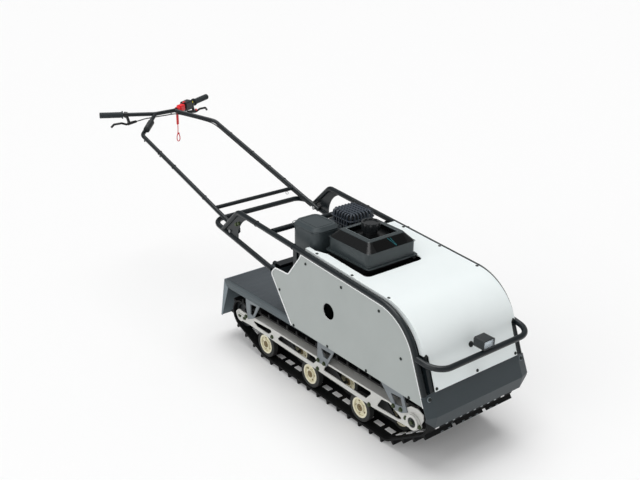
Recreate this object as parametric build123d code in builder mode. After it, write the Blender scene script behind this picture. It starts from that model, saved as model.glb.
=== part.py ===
from build123d import *
from math import acos, atan2, cos, degrees, hypot, pi, sin
import os

os.makedirs("parts", exist_ok=True)

# Tracked snow tug: a walk-behind motor on one wide rubber track, steered by a long
# handlebar that folds forward over the body. X forward, Y to the machine's left, Z up,
# millimetres. The origin is on the ground under the middle of the whole machine.
# Side views are drawn on Plane.XZ, whose normal points to the right side (-Y).

# Track loop
belt_width = 500.0
belt_thick = 8.0
clip_length = 45.0
clip_width = 24.0
clip_thick = 3.0
clip_y = 190.0
lug_height = 17.5
lug_root = 15.0
lug_crest = 9.0
lug_count = 41
lug_first_x = 526.0
lug_gap = 26.0
lug_middle = 150.0
track_play = 0.3

# Wheels inside the track
roller_radius = 65.7
roller_width = 26.0
roller_first_x = 120.0
roller_pitch = 347.5
roller_rows = 3
inner_ahead = 155.0
wheel_inset = 5.0
outer_face_y = belt_width / 2 - wheel_inset
inner_face_y = 150.0
rim_radius = 47.0
hub_radius = 22.0
idler_x = -82.0
idler_z = 168.0
idler_radius = 64.7
idler_face_ys = (230.0, 90.0)
sprocket_x = 1159.0
sprocket_z = 209.0
sprocket_radius = 58.7
sprocket_teeth = 8
sprocket_width = 22.0
sprocket_ys = (130.0, 40.0)
drive_axle_radius = 14.0
idler_axle_radius = 9.0

# Slide plates beside the track
plate_gap = 2.0
plate_y = belt_width / 2 + plate_gap
plate_thick = 4.0
plate_tip_radius = 31.0
plate_round = 8.0
plate_bottom_z = 148.0
plate_top_rear_z = 204.0
plate_top_rise = 0.021
plate_flange = 45.0
window_round = 6.0
pivot_ahead = 70.0
pivot_z = 157.0
pivot_radius = 9.0
rocker_thick = 6.0
stub_radius = 7.0
bracket_thick = 6.0

# Tunnel over the track and rear flap
tunnel_rear_x = -199.0
tunnel_front_x = 1205.0
tunnel_rear_z = 322.0
tunnel_slope = 0.02
tunnel_thick = 3.0
tunnel_half = plate_y + plate_thick + bracket_thick + tunnel_thick
tunnel_lip = 37.0
mat_rear_x = -192.0
mat_front_x = 345.0
mat_thick = 2.0
mat_margin = 10.0
flap_bottom_x = -239.0
flap_bottom_z = 108.0
flap_return = 30.0

# Tube frame
sill_thick = 11.0
panel_y = tunnel_half + sill_thick
rail_inset = 4.0
rail_y = panel_y - rail_inset
rail_radius = 12.5
rail_foot = (-182.0, 596.0)
rail_rear = (-47.0, 725.0)
rail_nose = (1105.0, 654.5)
rail_end = (1230.0, 336.0)
rail_rear_bend = 45.0
rail_nose_bend = 235.0
loop_rear = (-273.0, 612.0)
loop_front = (257.0, 526.0)
loop_bend = 60.0
cross_tube_x = 207.0
gusset_thick = 4.0

# Side panels and hood
panel_thick = 4.0
panel_hole = (637.5, 489.7)
panel_hole_radius = 37.0
panel_gap = 1.5
sill_rear_x = 374.0
sill_front_x = 1208.0
sill_bottom_z = 318.0
sill_top_z = 344.0
hood_lift = 16.0
hood_bend = 242.0
hood_thick = 4.0
hood_gap = 2.5
hood_half = rail_y - rail_radius - hood_gap
hood_nose_narrow = 23.0
hood_nose_half = hood_half - hood_nose_narrow
hood_rear_x = 447.0
hood_cut_front_x = 802.0
hood_cut_near_y = -212.0
hood_cut_far_y = 104.0
hood_notch_y = -236.0
pillar_top_z = 506.0
apron_top = (1234.0, 372.0)
apron_knee = (1273.0, 282.0)
apron_foot = (1263.0, 227.0)
apron_thick = 3.0
apron_inset = 20.0
apron_half = tunnel_half - apron_inset
apron_wing = 46.0
apron_sweep = 14.0

# Bumper and lamp
bumper_radius = 12.5
bumper_x = 1280.0
bumper_z = 490.0
bumper_inset = 8.5
bumper_half = rail_y - bumper_inset
bumper_bend = 75.0
lamp_width = 64.0
lamp_height = 42.0
lamp_depth = 54.0
lamp_front_x = 1289.0

# Engine
tank_x = 632.0
tank_y = -42.0
tank_length = 268.0
tank_width = 268.0
tank_shoulder = 39.0
tank_rim = 18.0
tank_recess = 20.0
tank_bottom_z = 706.0
tank_wall_high = 58.0
tank_high = 96.0
cap_radius = 41.0
cap_height = 34.0
filter_x = 386.0
filter_y = -150.0
filter_length = 178.0
filter_width = 146.0
filter_bottom_z = 660.0
filter_high = 130.0
guard_x = 365.0
guard_y = 76.0
guard_length = 147.0
guard_width = 150.0
guard_lift = 40.0
guard_high = 92.0

# Handlebar
arm_radius = 11.0
arm_inset = 31.0
arm_foot = (-118.0, rail_y - arm_inset, 607.5)
arm_bend = (-1033.0, 229.5, 850.0)
arm_top = (-1188.0, 60.0, 905.0)
grip_end = (-1300.0, 343.0, 918.0)
arm_bend_radius = 45.0
bar_bend_radius = 50.0
handle_cross_x = -308.0
grip_radius = 16.5
grip_length = 126.0
pivot_bolt_radius = 6.0
running_gap = 0.05
middle_shift = 11.4

right = Plane.XZ


def save(builder, name):
    """Move a finished piece so that the machine's middle is the origin, label it and write it."""
    piece = builder.part.moved(Location((middle_shift, 0, 0)))
    piece.label = name
    export_step(piece, f"parts/{name}.step")


def slope_line(start, end):
    """Rise per unit of run between two side-view points."""
    return (end[1] - start[1]) / (end[0] - start[0])


def along(start, end, distance):
    """Side-view point at a distance from start towards end."""
    run, rise = end[0] - start[0], end[1] - start[1]
    length = hypot(run, rise)
    return (start[0] + run * distance / length, start[1] + rise * distance / length)


def offset_corner(before, corner, after, distance):
    """Corner of two side-view lines, both moved to their right by a distance."""
    a1 = atan2(corner[1] - before[1], corner[0] - before[0])
    a2 = atan2(after[1] - corner[1], after[0] - corner[0])
    half = (a2 - a1) / 2
    reach = distance / cos(half)
    middle = (a1 + a2) / 2
    return (corner[0] + reach * sin(middle), corner[1] - reach * cos(middle))


def offset_point(start, end, point, distance):
    """A side-view point moved to the right of the line from start to end."""
    angle = atan2(end[1] - start[1], end[0] - start[0])
    return (point[0] + distance * sin(angle), point[1] - distance * cos(angle))


tank_wall_top_z = tank_bottom_z + tank_wall_high
tank_top_z = tank_bottom_z + tank_high
filter_top_z = filter_bottom_z + filter_high
guard_bottom_z = filter_bottom_z + guard_lift
guard_top_z = guard_bottom_z + guard_high

# Wheel centres, seated on the belt's inner face
roller_z = lug_height + belt_thick + track_play + roller_radius
outer_xs = [roller_first_x + roller_pitch * i for i in range(roller_rows)]
inner_xs = [x + inner_ahead for x in outer_xs]
loop_circles = [
    (idler_x, idler_z, idler_radius),
    (outer_xs[0], roller_z, roller_radius),
    (inner_xs[-1], roller_z, roller_radius),
    (sprocket_x, sprocket_z, sprocket_radius),
]


def belt_sketch(offset):
    """Side view of the loop, at an offset from the wheels it runs round."""
    with BuildSketch(right) as outline:
        with BuildLine():
            for x, z, radius in loop_circles:
                CenterArc((x, z), radius + track_play + offset, 0, 360)
        make_hull()
    return outline.sketch


def loop_stations(depth, count, first_x):
    """Even places round the belt at a depth from the wheels, as (x, z, outward angle)."""
    ahead = loop_circles[1:] + loop_circles[:1]
    normals = []
    for (x, z, radius), (next_x, next_z, next_radius) in zip(loop_circles, ahead):
        gap = hypot(next_x - x, next_z - z)
        normals.append(atan2(next_z - z, next_x - x) - acos((radius - next_radius) / gap))
    runs = []
    for i, (x, z, radius) in enumerate(loop_circles):
        reach = radius + track_play + depth
        turn = (normals[i] - normals[i - 1]) % (2 * pi)
        next_x, next_z, next_radius = ahead[i]
        straight = (hypot(next_x - x, next_z - z) ** 2 - (radius - next_radius) ** 2) ** 0.5
        runs.append((reach * turn, x, z, reach, normals[i - 1], 1 / reach))
        runs.append((straight, x, z, reach, normals[i], 0))
    total = sum(run[0] for run in runs)
    start = sum(run[0] for run in runs[:3]) + first_x - loop_circles[1][0]
    stations = []
    for k in range(count):
        rest = (start + k * total / count) % total
        for length, x, z, reach, angle, curl in runs:
            if rest <= length:
                break
            rest -= length
        angle += rest * curl
        slide = 0 if curl else rest
        stations.append((
            x + reach * cos(angle) - slide * sin(angle), z + reach * sin(angle) + slide * cos(angle),
            degrees(angle)))
    return stations


# Track: belt and full-width lugs, each lug in three bars
belt_outer = belt_sketch(belt_thick)
with BuildPart() as track:
    with BuildSketch(right):
        add(belt_outer)
        add(belt_sketch(0), mode=Mode.SUBTRACT)
    extrude(amount=belt_width / 2, both=True)
    with BuildSketch(right) as lug_sketch:
        for x, z, angle in loop_stations(belt_thick, lug_count, lug_first_x):
            with Locations(Location((x, z), angle)):
                Polygon(
                    (-1, -lug_root / 2), (lug_height, -lug_crest / 2),
                    (lug_height, lug_crest / 2), (-1, lug_root / 2), align=None)
    extrude(amount=belt_width / 2, both=True)
    with BuildSketch(right) as gap_sketch:
        add(belt_sketch(belt_thick + lug_height + 1))
        add(belt_sketch(belt_thick), mode=Mode.SUBTRACT)
    for y in (-lug_middle / 2 - lug_gap, lug_middle / 2):
        extrude(gap_sketch.sketch.moved(Location((0, y + lug_gap, 0))), amount=lug_gap,
                mode=Mode.SUBTRACT)
save(track, "track")

# Steel clips pressed on the belt's inner face, one for each lug on each side
with BuildPart() as clips:
    with BuildSketch(right) as clip_sketch:
        add(belt_sketch(0))
        add(belt_sketch(-clip_thick), mode=Mode.SUBTRACT)
        with BuildSketch(mode=Mode.INTERSECT):
            for x, z, angle in loop_stations(0, lug_count, lug_first_x):
                with Locations(Location((x, z), angle)):
                    Rectangle(4 * clip_thick, clip_length)
    for y in (clip_y, -clip_y):
        extrude(clip_sketch.sketch.moved(Location((0, y + clip_width / 2, 0))), amount=clip_width)
save(clips, "track_clips")


def wheel_rings(name, rows, chamfer_size):
    """Rubber rings, one for each (x, z, outer face, radius) and side."""
    with BuildPart() as rings:
        for x, z, face, radius in rows:
            for start in (face - roller_width, -face):
                with BuildSketch(right.offset(start)):
                    with Locations((x, z)):
                        Circle(radius)
                        Circle(rim_radius, mode=Mode.SUBTRACT)
                extrude(amount=roller_width)
        rims = rings.edges().filter_by(GeomType.CIRCLE)
        rims = [edge for edge in rims if edge.radius > rim_radius + 1]
        chamfer(rims, chamfer_size)
    save(rings, name)


roller_rows_table = [(x, roller_z, outer_face_y, roller_radius) for x in outer_xs]
roller_rows_table += [(x, roller_z, inner_face_y, roller_radius) for x in inner_xs]

wheel_rings("wheel_tyres", roller_rows_table, 2)


def wheel_discs(name, rows, rim_high):
    """Dished wheels with a raised rim and hub, one for each (x, z, outer face, radius, axle) and side."""
    web = 9.0
    with BuildPart() as discs:
        for x, z, face, radius, axle_radius in rows:
            for side in (1, -1):
                middle = side * (face - roller_width / 2)
                with BuildSketch(right.offset(middle - roller_width / 2)):
                    with Locations((x, z)):
                        Circle(radius)
                        Circle(radius - rim_high, mode=Mode.SUBTRACT)
                extrude(amount=roller_width)
                with BuildSketch(right.offset(middle - web / 2)):
                    with Locations((x, z)):
                        Circle(radius - rim_high / 2)
                extrude(amount=web)
                with BuildSketch(right.offset(middle - roller_width / 2)):
                    with Locations((x, z)):
                        Circle(hub_radius)
                extrude(amount=roller_width)
                with BuildSketch(right.offset(middle - roller_width / 2)):
                    with Locations((x, z)):
                        Circle(axle_radius + running_gap)
                extrude(amount=roller_width, mode=Mode.SUBTRACT)
    save(discs, name)


disc_rows = [(x, z, face, rim_radius, stub_radius) for x, z, face, radius in roller_rows_table]
wheel_discs("wheel_discs", disc_rows, 9)
idler_rows = [(idler_x, idler_z, face, idler_radius, idler_axle_radius) for face in idler_face_ys]
wheel_discs("idler_wheels", idler_rows, 14)

# Rocker arms: each carries one outer and one inner roller and hangs on a cross shaft
rocker_y = (outer_face_y - roller_width + inner_face_y) / 2
with BuildPart() as rockers:
    for x in outer_xs:
        for start in (rocker_y - rocker_thick / 2, -rocker_y - rocker_thick / 2):
            with BuildSketch(right.offset(start)):
                with BuildLine():
                    CenterArc((x, roller_z), 16, 0, 360)
                    CenterArc((x + pivot_ahead, pivot_z), 20, 0, 360)
                    CenterArc((x + inner_ahead, roller_z), 16, 0, 360)
                make_hull()
                with Locations((x + pivot_ahead, pivot_z)):
                    Circle(pivot_radius + running_gap, mode=Mode.SUBTRACT)
            extrude(amount=rocker_thick)
        for side in (1, -1):
            for stub_x, face in ((x, outer_face_y), (x + inner_ahead, inner_face_y)):
                inner = face - roller_width
                near, far = sorted((rocker_y, face + 3 if face > rocker_y else inner - 3))
                with BuildSketch(right.offset(near if side > 0 else -far)):
                    with Locations((stub_x, roller_z)):
                        Circle(stub_radius)
                extrude(amount=far - near)
save(rockers, "rocker_arms")

# Cross shafts between the slide plates
shaft_rows = [(x + pivot_ahead, pivot_z, pivot_radius) for x in outer_xs]
shaft_rows += [(idler_x, idler_z, idler_axle_radius), (sprocket_x, sprocket_z, drive_axle_radius)]
with BuildPart() as shafts:
    with BuildSketch(right.offset(-plate_y)):
        for x, z, radius in shaft_rows:
            with Locations((x, z)):
                Circle(radius)
    extrude(amount=2 * plate_y)
save(shafts, "cross_shafts")

# Drive sprockets: toothed discs on the drive axle
with BuildPart() as sprockets:
    for y in sprocket_ys:
        for middle in (y, -y):
            with BuildSketch(right.offset(middle - sprocket_width / 2)):
                with Locations((sprocket_x, sprocket_z)):
                    Circle(sprocket_radius - 12)
                    with PolarLocations(sprocket_radius - 11, sprocket_teeth):
                        Rectangle(16, 20)
                with Locations((sprocket_x, sprocket_z)):
                    Circle(drive_axle_radius + running_gap, mode=Mode.SUBTRACT)
            extrude(amount=sprocket_width)
save(sprockets, "drive_sprockets")

# Slide plates: long aluminium plates with windows, a flat flange turned in at the top
plate_top_x = idler_x + 125


def plate_top(x):
    return plate_top_rear_z + plate_top_rise * (x - plate_top_x)


window_rows = [
    # corner points of each window as (x, z)
    [(15, 184), (67, 165), (155, 165), (181, 183), (181, 197)],
    [(225, 168), (259, plate_top(259) - 8), (515, plate_top(515) - 10), (529, 193), (505, 167)],
    [(575, 167), (600, plate_top(600) - 9), (896, plate_top(896) - 9), (896, 202), (865, 167)],
    [(933, 164), (962, 212), (1007, 218), (1037, 205), (1092, 182), (1067, 170)],
]


with BuildPart() as plates:
    for start, flange_start in ((plate_y, plate_y - plate_flange), (-plate_y - plate_thick, -plate_y)):
        with BuildSketch(right.offset(start)):
            with BuildLine():
                Polyline(
                    (idler_x, idler_z - plate_tip_radius + 5), (idler_x + 80, plate_bottom_z),
                    (sprocket_x - 244, plate_bottom_z - 2), (sprocket_x - 19, sprocket_z - 44),
                    (sprocket_x + 21, sprocket_z - 32), (sprocket_x + 50, sprocket_z + 26),
                    (sprocket_x + 48, sprocket_z + 52), (sprocket_x + 19, sprocket_z + 63),
                    (sprocket_x - 22, sprocket_z + 58), (sprocket_x - 80, plate_top(sprocket_x - 80)),
                    (plate_top_x, plate_top_rear_z), (idler_x + 60, idler_z + plate_tip_radius - 1),
                    (idler_x, idler_z + plate_tip_radius - 4), close=True)
            make_face()
            fillet(vertices(), plate_round)
            with Locations((idler_x, idler_z)):
                Circle(plate_tip_radius)
            for points in window_rows:
                with BuildSketch(mode=Mode.SUBTRACT):
                    with BuildLine():
                        Polyline(*points, close=True)
                    make_face()
                    fillet(vertices(), window_round)
        extrude(amount=plate_thick)
        top_start = (plate_top_x, plate_top_rear_z)
        top_end = (sprocket_x - 80, plate_top(sprocket_x - 80))
        with BuildSketch(right.offset(flange_start)):
            with BuildLine():
                Polyline(
                    top_start, top_end, (top_end[0], top_end[1] - plate_thick),
                    (top_start[0], top_start[1] - plate_thick), close=True)
            make_face()
        extrude(amount=plate_flange)
save(plates, "slide_plates")

# Bearing housings of the drive axle, two-bolt castings on the plates
with BuildPart() as bearings:
    for start, sign in ((plate_y + plate_thick, 1), (-plate_y - plate_thick, -1)):
        with BuildSketch(right.offset(start)):
            with BuildLine():
                CenterArc((sprocket_x, sprocket_z), 36, 0, 360)
                CenterArc((sprocket_x - 41, sprocket_z - 2), 10, 0, 360)
                CenterArc((sprocket_x + 36, sprocket_z - 4), 10, 0, 360)
            make_hull()
        extrude(amount=6 * sign)
        with BuildSketch(right.offset(start)):
            with Locations((sprocket_x, sprocket_z)):
                Circle(33)
                Circle(22, mode=Mode.SUBTRACT)
        extrude(amount=16 * sign)
        with BuildSketch(right.offset(start)):
            with Locations((sprocket_x, sprocket_z)):
                Circle(20)
        extrude(amount=11 * sign)
save(bearings, "bearing_housings")


# Tunnel: one folded sheet over the track, closed at the sides by short lips
def tunnel_z(x):
    return tunnel_rear_z + tunnel_slope * (x - tunnel_rear_x)


with BuildPart() as tunnel:
    front = tunnel_front_x
    with BuildSketch(right):
        with BuildLine():
            Polyline(
                (tunnel_rear_x, tunnel_z(tunnel_rear_x)), (front, tunnel_z(front)),
                (front, tunnel_z(front) - tunnel_lip),
                (tunnel_rear_x + 40, tunnel_z(tunnel_rear_x + 40) - tunnel_lip),
                (tunnel_rear_x, tunnel_z(tunnel_rear_x) - 12), close=True)
        make_face()
    extrude(amount=tunnel_half, both=True)
    long_edges = tunnel.edges().filter_by(lambda e: e.length > 1000).group_by(Axis.Z)[-1]
    fillet(long_edges, 6)
    with BuildSketch(right):
        with BuildLine():
            Polyline(
                (tunnel_rear_x - 5, tunnel_z(tunnel_rear_x - 5) - tunnel_thick),
                (front + 5, tunnel_z(front + 5) - tunnel_thick),
                (front + 5, tunnel_z(front) - 60), (tunnel_rear_x - 5, tunnel_z(tunnel_rear_x) - 60),
                close=True)
        make_face()
    extrude(amount=tunnel_half - tunnel_thick, both=True, mode=Mode.SUBTRACT)
save(tunnel, "tunnel")

# Dark mat on the free deck behind the body
mat_half = tunnel_half - mat_margin
with BuildPart() as mat:
    with BuildSketch(right):
        with BuildLine():
            Polyline(
                (mat_rear_x, tunnel_z(mat_rear_x)), (mat_front_x, tunnel_z(mat_front_x)),
                (mat_front_x, tunnel_z(mat_front_x) + mat_thick), (mat_rear_x, tunnel_z(mat_rear_x) + mat_thick),
                close=True)
        make_face()
    extrude(amount=mat_half, both=True)
save(mat, "deck_mat")

# V brackets: hang the slide plates from the tunnel's lips
bracket_rows = [
    # outline then opening, as (x, z)
    ([(-22, 305), (109, 307), (43, 202), (-3, 180), (-15, 225)],
     [(18, 270), (71, 278), (38, 211), (18, 216)]),
    ([(542, 312), (666, 313), (607, 202), (540, 194)], [(567, 276), (637, 279), (612, 238), (586, 240)]),
    ([(942, 316), (1086, 318), (1121, 231), (1093, 215), (1051, 208), (1033, 226)],
     [(1022, 276), (1081, 281), (1096, 245), (1050, 235)]),
]
with BuildPart() as brackets:
    for start in (plate_y + plate_thick, -plate_y - plate_thick - bracket_thick):
        for outline, opening in bracket_rows:
            with BuildSketch(right.offset(start)):
                with BuildLine():
                    Polyline(*outline, close=True)
                make_face()
                with BuildSketch(mode=Mode.SUBTRACT):
                    with BuildLine():
                        Polyline(*opening, close=True)
                    make_face()
            extrude(amount=bracket_thick)
save(brackets, "plate_brackets")

# Rear flap: bent sheet with narrow side returns, below the tunnel's rear edge
flap_top = (tunnel_rear_x - 0.1, tunnel_z(tunnel_rear_x))
flap_bottom = (flap_bottom_x, flap_bottom_z)
with BuildPart() as flap:
    with BuildSketch(right):
        with BuildLine():
            Polyline(
                flap_top, (flap_top[0] - tunnel_thick, flap_top[1]),
                (flap_bottom[0] - tunnel_thick, flap_bottom[1]), flap_bottom, close=True)
        make_face()
    extrude(amount=tunnel_half, both=True)
    for start in (tunnel_half - tunnel_thick, -tunnel_half):
        with BuildSketch(right.offset(start)):
            with BuildLine():
                Polyline(
                    (flap_top[0], flap_top[1] - 13), (flap_top[0] + flap_return - 2, flap_top[1] - 38),
                    (flap_bottom[0] + 6, flap_bottom[1]), (flap_bottom[0] - 1, flap_bottom[1]),
                    (flap_top[0] - 1, flap_top[1] - 13), close=True)
            make_face()
        extrude(amount=tunnel_thick)
save(flap, "rear_flap")


# Apron: bent front sheet with swept wings
def apron_section(y, shift, top_z, low_z, cutter=0):
    """Band through the apron's three bend points, shifted back and trimmed in height."""
    thick = apron_thick + (0.2 if cutter else 0)
    upper = along(apron_knee, apron_top, (top_z - apron_knee[1]) / sin(atan2(
        apron_top[1] - apron_knee[1], apron_knee[0] - apron_top[0])))
    lower = along(apron_knee, apron_foot, (apron_knee[1] - low_z) / sin(atan2(
        apron_knee[1] - apron_foot[1], apron_knee[0] - apron_foot[0])))
    inner = [
        offset_point(upper, apron_knee, upper, thick),
        offset_corner(upper, apron_knee, lower, thick),
        offset_point(apron_knee, lower, lower, thick)]
    points = [upper, apron_knee, lower, inner[2], inner[1], inner[0]]
    if cutter:
        points[:3] = [(x + cutter, z) for x, z in points[:3]]
    with BuildSketch(right.offset(-y)) as section:
        with BuildLine():
            Polyline(*[(x - shift, z) for x, z in points], close=True)
        make_face()
    return section.sketch


def apron_wing_sections(side, cutter=0):
    """The wing's root and tip, on one side."""
    rise = 1 if cutter else 0
    root = apron_section(side * apron_half, 0, apron_top[1] + rise, apron_foot[1], cutter)
    tip_y = side * (apron_half + apron_wing)
    return [root, apron_section(tip_y, apron_sweep, apron_top[1] - 12 + rise, apron_foot[1] + 40, cutter)]


with BuildPart() as apron:
    extrude(apron_section(-apron_half, 0, apron_top[1], apron_foot[1]), amount=-2 * apron_half)
    for side in (1, -1):
        loft(apron_wing_sections(side), ruled=True)
save(apron, "apron")

# Frame tubes
def solid_tube(points, radii, radius):
    """Round bar along bent points, to be joined or cut."""
    with BuildPart() as piece:
        with BuildLine() as path:
            FilletPolyline(*points, radius=radii)
        with BuildSketch(Plane(origin=path.line @ 0, z_dir=path.line % 0)):
            Circle(radius)
        sweep(path=path.line)
    return piece.part


# Rear loop: bent tube at the back, its front ends flattened behind the side panels
loop_points = [
    (loop_front[0], -rail_y, loop_front[1]), (loop_rear[0], -rail_y, loop_rear[1]),
    (loop_rear[0], rail_y, loop_rear[1]), (loop_front[0], rail_y, loop_front[1])]
with BuildPart() as loop:
    add(solid_tube(loop_points, loop_bend, rail_radius))
    for start in (panel_y - running_gap, -panel_y + running_gap - rail_radius):
        with BuildSketch(right.offset(start)):
            with Locations((loop_front[0] + 15, loop_front[1])):
                Rectangle(100, 60)
        extrude(amount=rail_radius, mode=Mode.SUBTRACT)
save(loop, "rear_loop")

# Rails: from the loop up and along the hood, down behind the apron's wings
rail_start = along(rail_foot, rail_rear, 4)


def rail_points(side):
    return [(x, side * rail_y, z) for x, z in (rail_start, rail_rear, rail_nose, rail_end)]


rail_bends = [rail_rear_bend, rail_nose_bend]
with BuildPart() as rails:
    for side in (1, -1):
        add(solid_tube(rail_points(side), rail_bends, rail_radius))
        loft(apron_wing_sections(side, 60), ruled=True, mode=Mode.SUBTRACT)
    add(solid_tube(loop_points, loop_bend, rail_radius + running_gap), mode=Mode.SUBTRACT)
save(rails, "frame_rails")

rail_inner_y = rail_y - rail_radius
rail_slope = slope_line(rail_rear, rail_nose)


def rail_height(x):
    """Height of the rail's centre line along the hood."""
    return rail_rear[1] + rail_slope * (x - rail_rear[0])


# Gussets between the rails' rear bends and the loop
loop_slope = slope_line(loop_rear, loop_front)
loop_top = rail_radius / cos(atan2(loop_slope, 1))


def loop_height(x):
    """Height of the loop's upper edge."""
    return loop_rear[1] + loop_slope * (x - loop_rear[0]) + loop_top


foot_inner = offset_corner((rail_foot[0], rail_foot[1]), rail_rear, rail_nose, rail_radius)
foot_slope = slope_line(rail_foot, rail_rear)
seat_x = (loop_height(0) - (foot_inner[1] - foot_slope * foot_inner[0])) / (foot_slope - loop_slope)
top_edge_x = foot_inner[0] + 68
with BuildPart() as gussets:
    for start in (rail_y - gusset_thick / 2, -rail_y - gusset_thick / 2):
        with BuildSketch(right.offset(start)):
            with BuildLine():
                a = (seat_x, loop_height(seat_x))
                b = (top_edge_x, foot_inner[1] + rail_slope * 68)
                c = (-53, loop_height(-53))
                FilletPolyline(a, foot_inner, b, radius=rail_rear_bend - rail_radius)
                ThreePointArc(b, (-43, 645), c)
                Line(c, a)
            make_face()
            with Locations((arm_foot[0], arm_foot[2])):
                Circle(pivot_bolt_radius + running_gap, mode=Mode.SUBTRACT)
        extrude(amount=gusset_thick)
save(gussets, "frame_gussets")

# Rear cross members: a tube between the rails and a channel between the loop's ends
member_x = loop_front[0] - 10
member_z = loop_front[1] + rail_radius + 1
member_half = rail_inner_y - 0.1
with BuildPart() as members:
    with BuildSketch(right.offset(-member_half)):
        with Locations((cross_tube_x, rail_height(cross_tube_x))):
            Circle(rail_radius)
        with BuildLine():
            Polyline(
                (member_x - 22, member_z + 26), (member_x + 22, member_z + 26), (member_x + 22, member_z + 23),
                (member_x - 19, member_z + 23), (member_x - 19, member_z - 14), (member_x - 22, member_z - 14),
                close=True)
        make_face()
    extrude(amount=2 * member_half)
save(members, "rear_cross_members")

# Side panels
panel_rail = offset_point(rail_rear, rail_nose, (447, rail_height(447)), rail_radius + panel_gap)
panel_nose = offset_corner(rail_rear, rail_nose, rail_end, rail_radius + panel_gap)
panel_front = offset_point(rail_nose, rail_end, along(rail_end, rail_nose, -20), rail_radius + panel_gap)
panel_low_z = 314.0
strip_ends = (460.0, 960.0)
strip_deep = 34.0
panel_radii = [20, 4, 20, 8, 4, 221]


with BuildPart() as panels:
    for start in (panel_y, -panel_y - panel_thick):
        with BuildSketch(right.offset(start)):
            with BuildLine():
                low_front = (panel_front[0], panel_low_z)
                FilletPolyline(
                    (377, panel_low_z), (224, 521), (257, 554), (353, 558), (439, 668), panel_rail,
                    panel_nose, low_front, radius=panel_radii)
                Line(low_front, (377, panel_low_z))
            make_face()
            if start > 0:
                with Locations(panel_hole):
                    Circle(panel_hole_radius, mode=Mode.SUBTRACT)
        extrude(amount=panel_thick)
save(panels, "side_panels")

# Sill bars carry the panels' lower edges, strips under the rails carry their tops
with BuildPart() as holders:
    for start in (tunnel_half, -panel_y):
        with BuildSketch(right.offset(start)):
            with BuildLine():
                Polyline(
                    (sill_rear_x, sill_bottom_z), (sill_front_x, sill_bottom_z), (sill_front_x, sill_top_z),
                    (sill_rear_x, sill_top_z), close=True)
            make_face()
        extrude(amount=panel_y - tunnel_half)
    for start in (rail_y, -panel_y):
        with BuildSketch(right.offset(start)):
            with BuildLine():
                tops = [offset_point(rail_rear, rail_nose, (x, rail_height(x)), rail_radius) for x in strip_ends]
                lows = [offset_point(rail_rear, rail_nose, (x, rail_height(x)), strip_deep) for x in strip_ends]
                Polyline(tops[0], tops[1], lows[1], lows[0], close=True)
            make_face()
        extrude(amount=panel_y - rail_y)
save(holders, "panel_holders")

# Rear bulkhead: leaning sheet that closes the body behind the engine
bulkhead_top = (228.0, 528.0)
bulkhead_foot = (368.0, tunnel_z(368.0) + 0.1)
bulkhead_thick = 3.0
bulkhead_half = rail_inner_y - 0.5
with BuildPart() as bulkhead:
    with BuildSketch(right.offset(-bulkhead_half)):
        with BuildLine():
            Polyline(
                bulkhead_top, offset_point(bulkhead_foot, bulkhead_top, bulkhead_top, bulkhead_thick),
                (bulkhead_foot[0] + bulkhead_thick, bulkhead_foot[1] + 0.1), bulkhead_foot, close=True)
        make_face()
    extrude(amount=2 * bulkhead_half)
save(bulkhead, "rear_bulkhead")

# Hood: one sheet bent over the frame, with side flanges and the engine's opening
hood_rear = offset_point(rail_nose, rail_rear, (hood_rear_x, rail_height(hood_rear_x)), hood_lift)
hood_corner = (1139.5, 669.0)
hood_foot = (1243.5, 377.0)
hood_slope = atan2(hood_foot[1] - hood_corner[1], hood_foot[0] - hood_corner[0])


def hood_band(outer, inner):
    """Side view of the hood between two depths below its outer skin."""
    lines = []
    for depth in (outer, inner):
        rear = offset_point(hood_rear, hood_corner, hood_rear, depth)
        corner = offset_corner(hood_rear, hood_corner, hood_foot, depth)
        foot = offset_point(hood_corner, hood_foot, hood_foot, depth)
        lines.append((rear, corner, foot))
    with BuildSketch(right) as band:
        with BuildLine():
            top = FilletPolyline(*lines[0], radius=hood_bend - outer)
            low = FilletPolyline(*lines[1], radius=hood_bend - inner)
            Line(top @ 1, low @ 1)
            Line(low @ 0, top @ 0)
        make_face()
    return band.sketch


hood_flange = 24.0
pillar_near_y = hood_nose_half + 2
pillar_far_y = rail_inner_y - 0.1
pillar_middle_y = (pillar_near_y + pillar_far_y) / 2
pillar_dome = (pillar_far_y - pillar_near_y) / 2
with BuildPart() as hood:
    extrude(hood_band(0, hood_flange), amount=hood_half, both=True)
    extrude(hood_band(hood_thick, hood_flange + 1), amount=hood_half - hood_thick, both=True, mode=Mode.SUBTRACT)
    with BuildSketch(Plane.XY.offset(600)):
        opening_x = (hood_rear_x + hood_cut_front_x) / 2
        with Locations((opening_x, (hood_cut_near_y + hood_cut_far_y) / 2)):
            RectangleRounded(hood_cut_front_x - hood_rear_x, hood_cut_far_y - hood_cut_near_y, 24)
        with Locations((hood_rear_x + 10, (hood_cut_near_y + hood_cut_far_y) / 2)):
            Rectangle(60, hood_cut_far_y - hood_cut_near_y)
        Polygon(
            (hood_rear_x - 20, hood_notch_y), (hood_rear_x + 43, hood_notch_y),
            (hood_rear_x + 98, hood_cut_near_y), (hood_rear_x + 98, hood_cut_near_y + 20),
            (hood_rear_x - 20, hood_cut_near_y + 20), align=None)
    extrude(amount=200, mode=Mode.SUBTRACT)
    for side in (1, -1):
        with BuildSketch(Plane.YZ.offset(hood_corner[0])):
            with Locations((side * (hood_half + hood_nose_half) / 2, pillar_top_z - 80)):
                Rectangle(hood_half - hood_nose_half, 160)
            with Locations((side * pillar_middle_y, pillar_top_z)):
                Circle(pillar_dome + 2)
        extrude(amount=140, mode=Mode.SUBTRACT)
    with BuildSketch(Plane.YZ.offset(hood_corner[0])):
        with Locations((-8, 492)):
            Circle(9)
    extrude(amount=100, mode=Mode.SUBTRACT)
save(hood, "hood")

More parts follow.
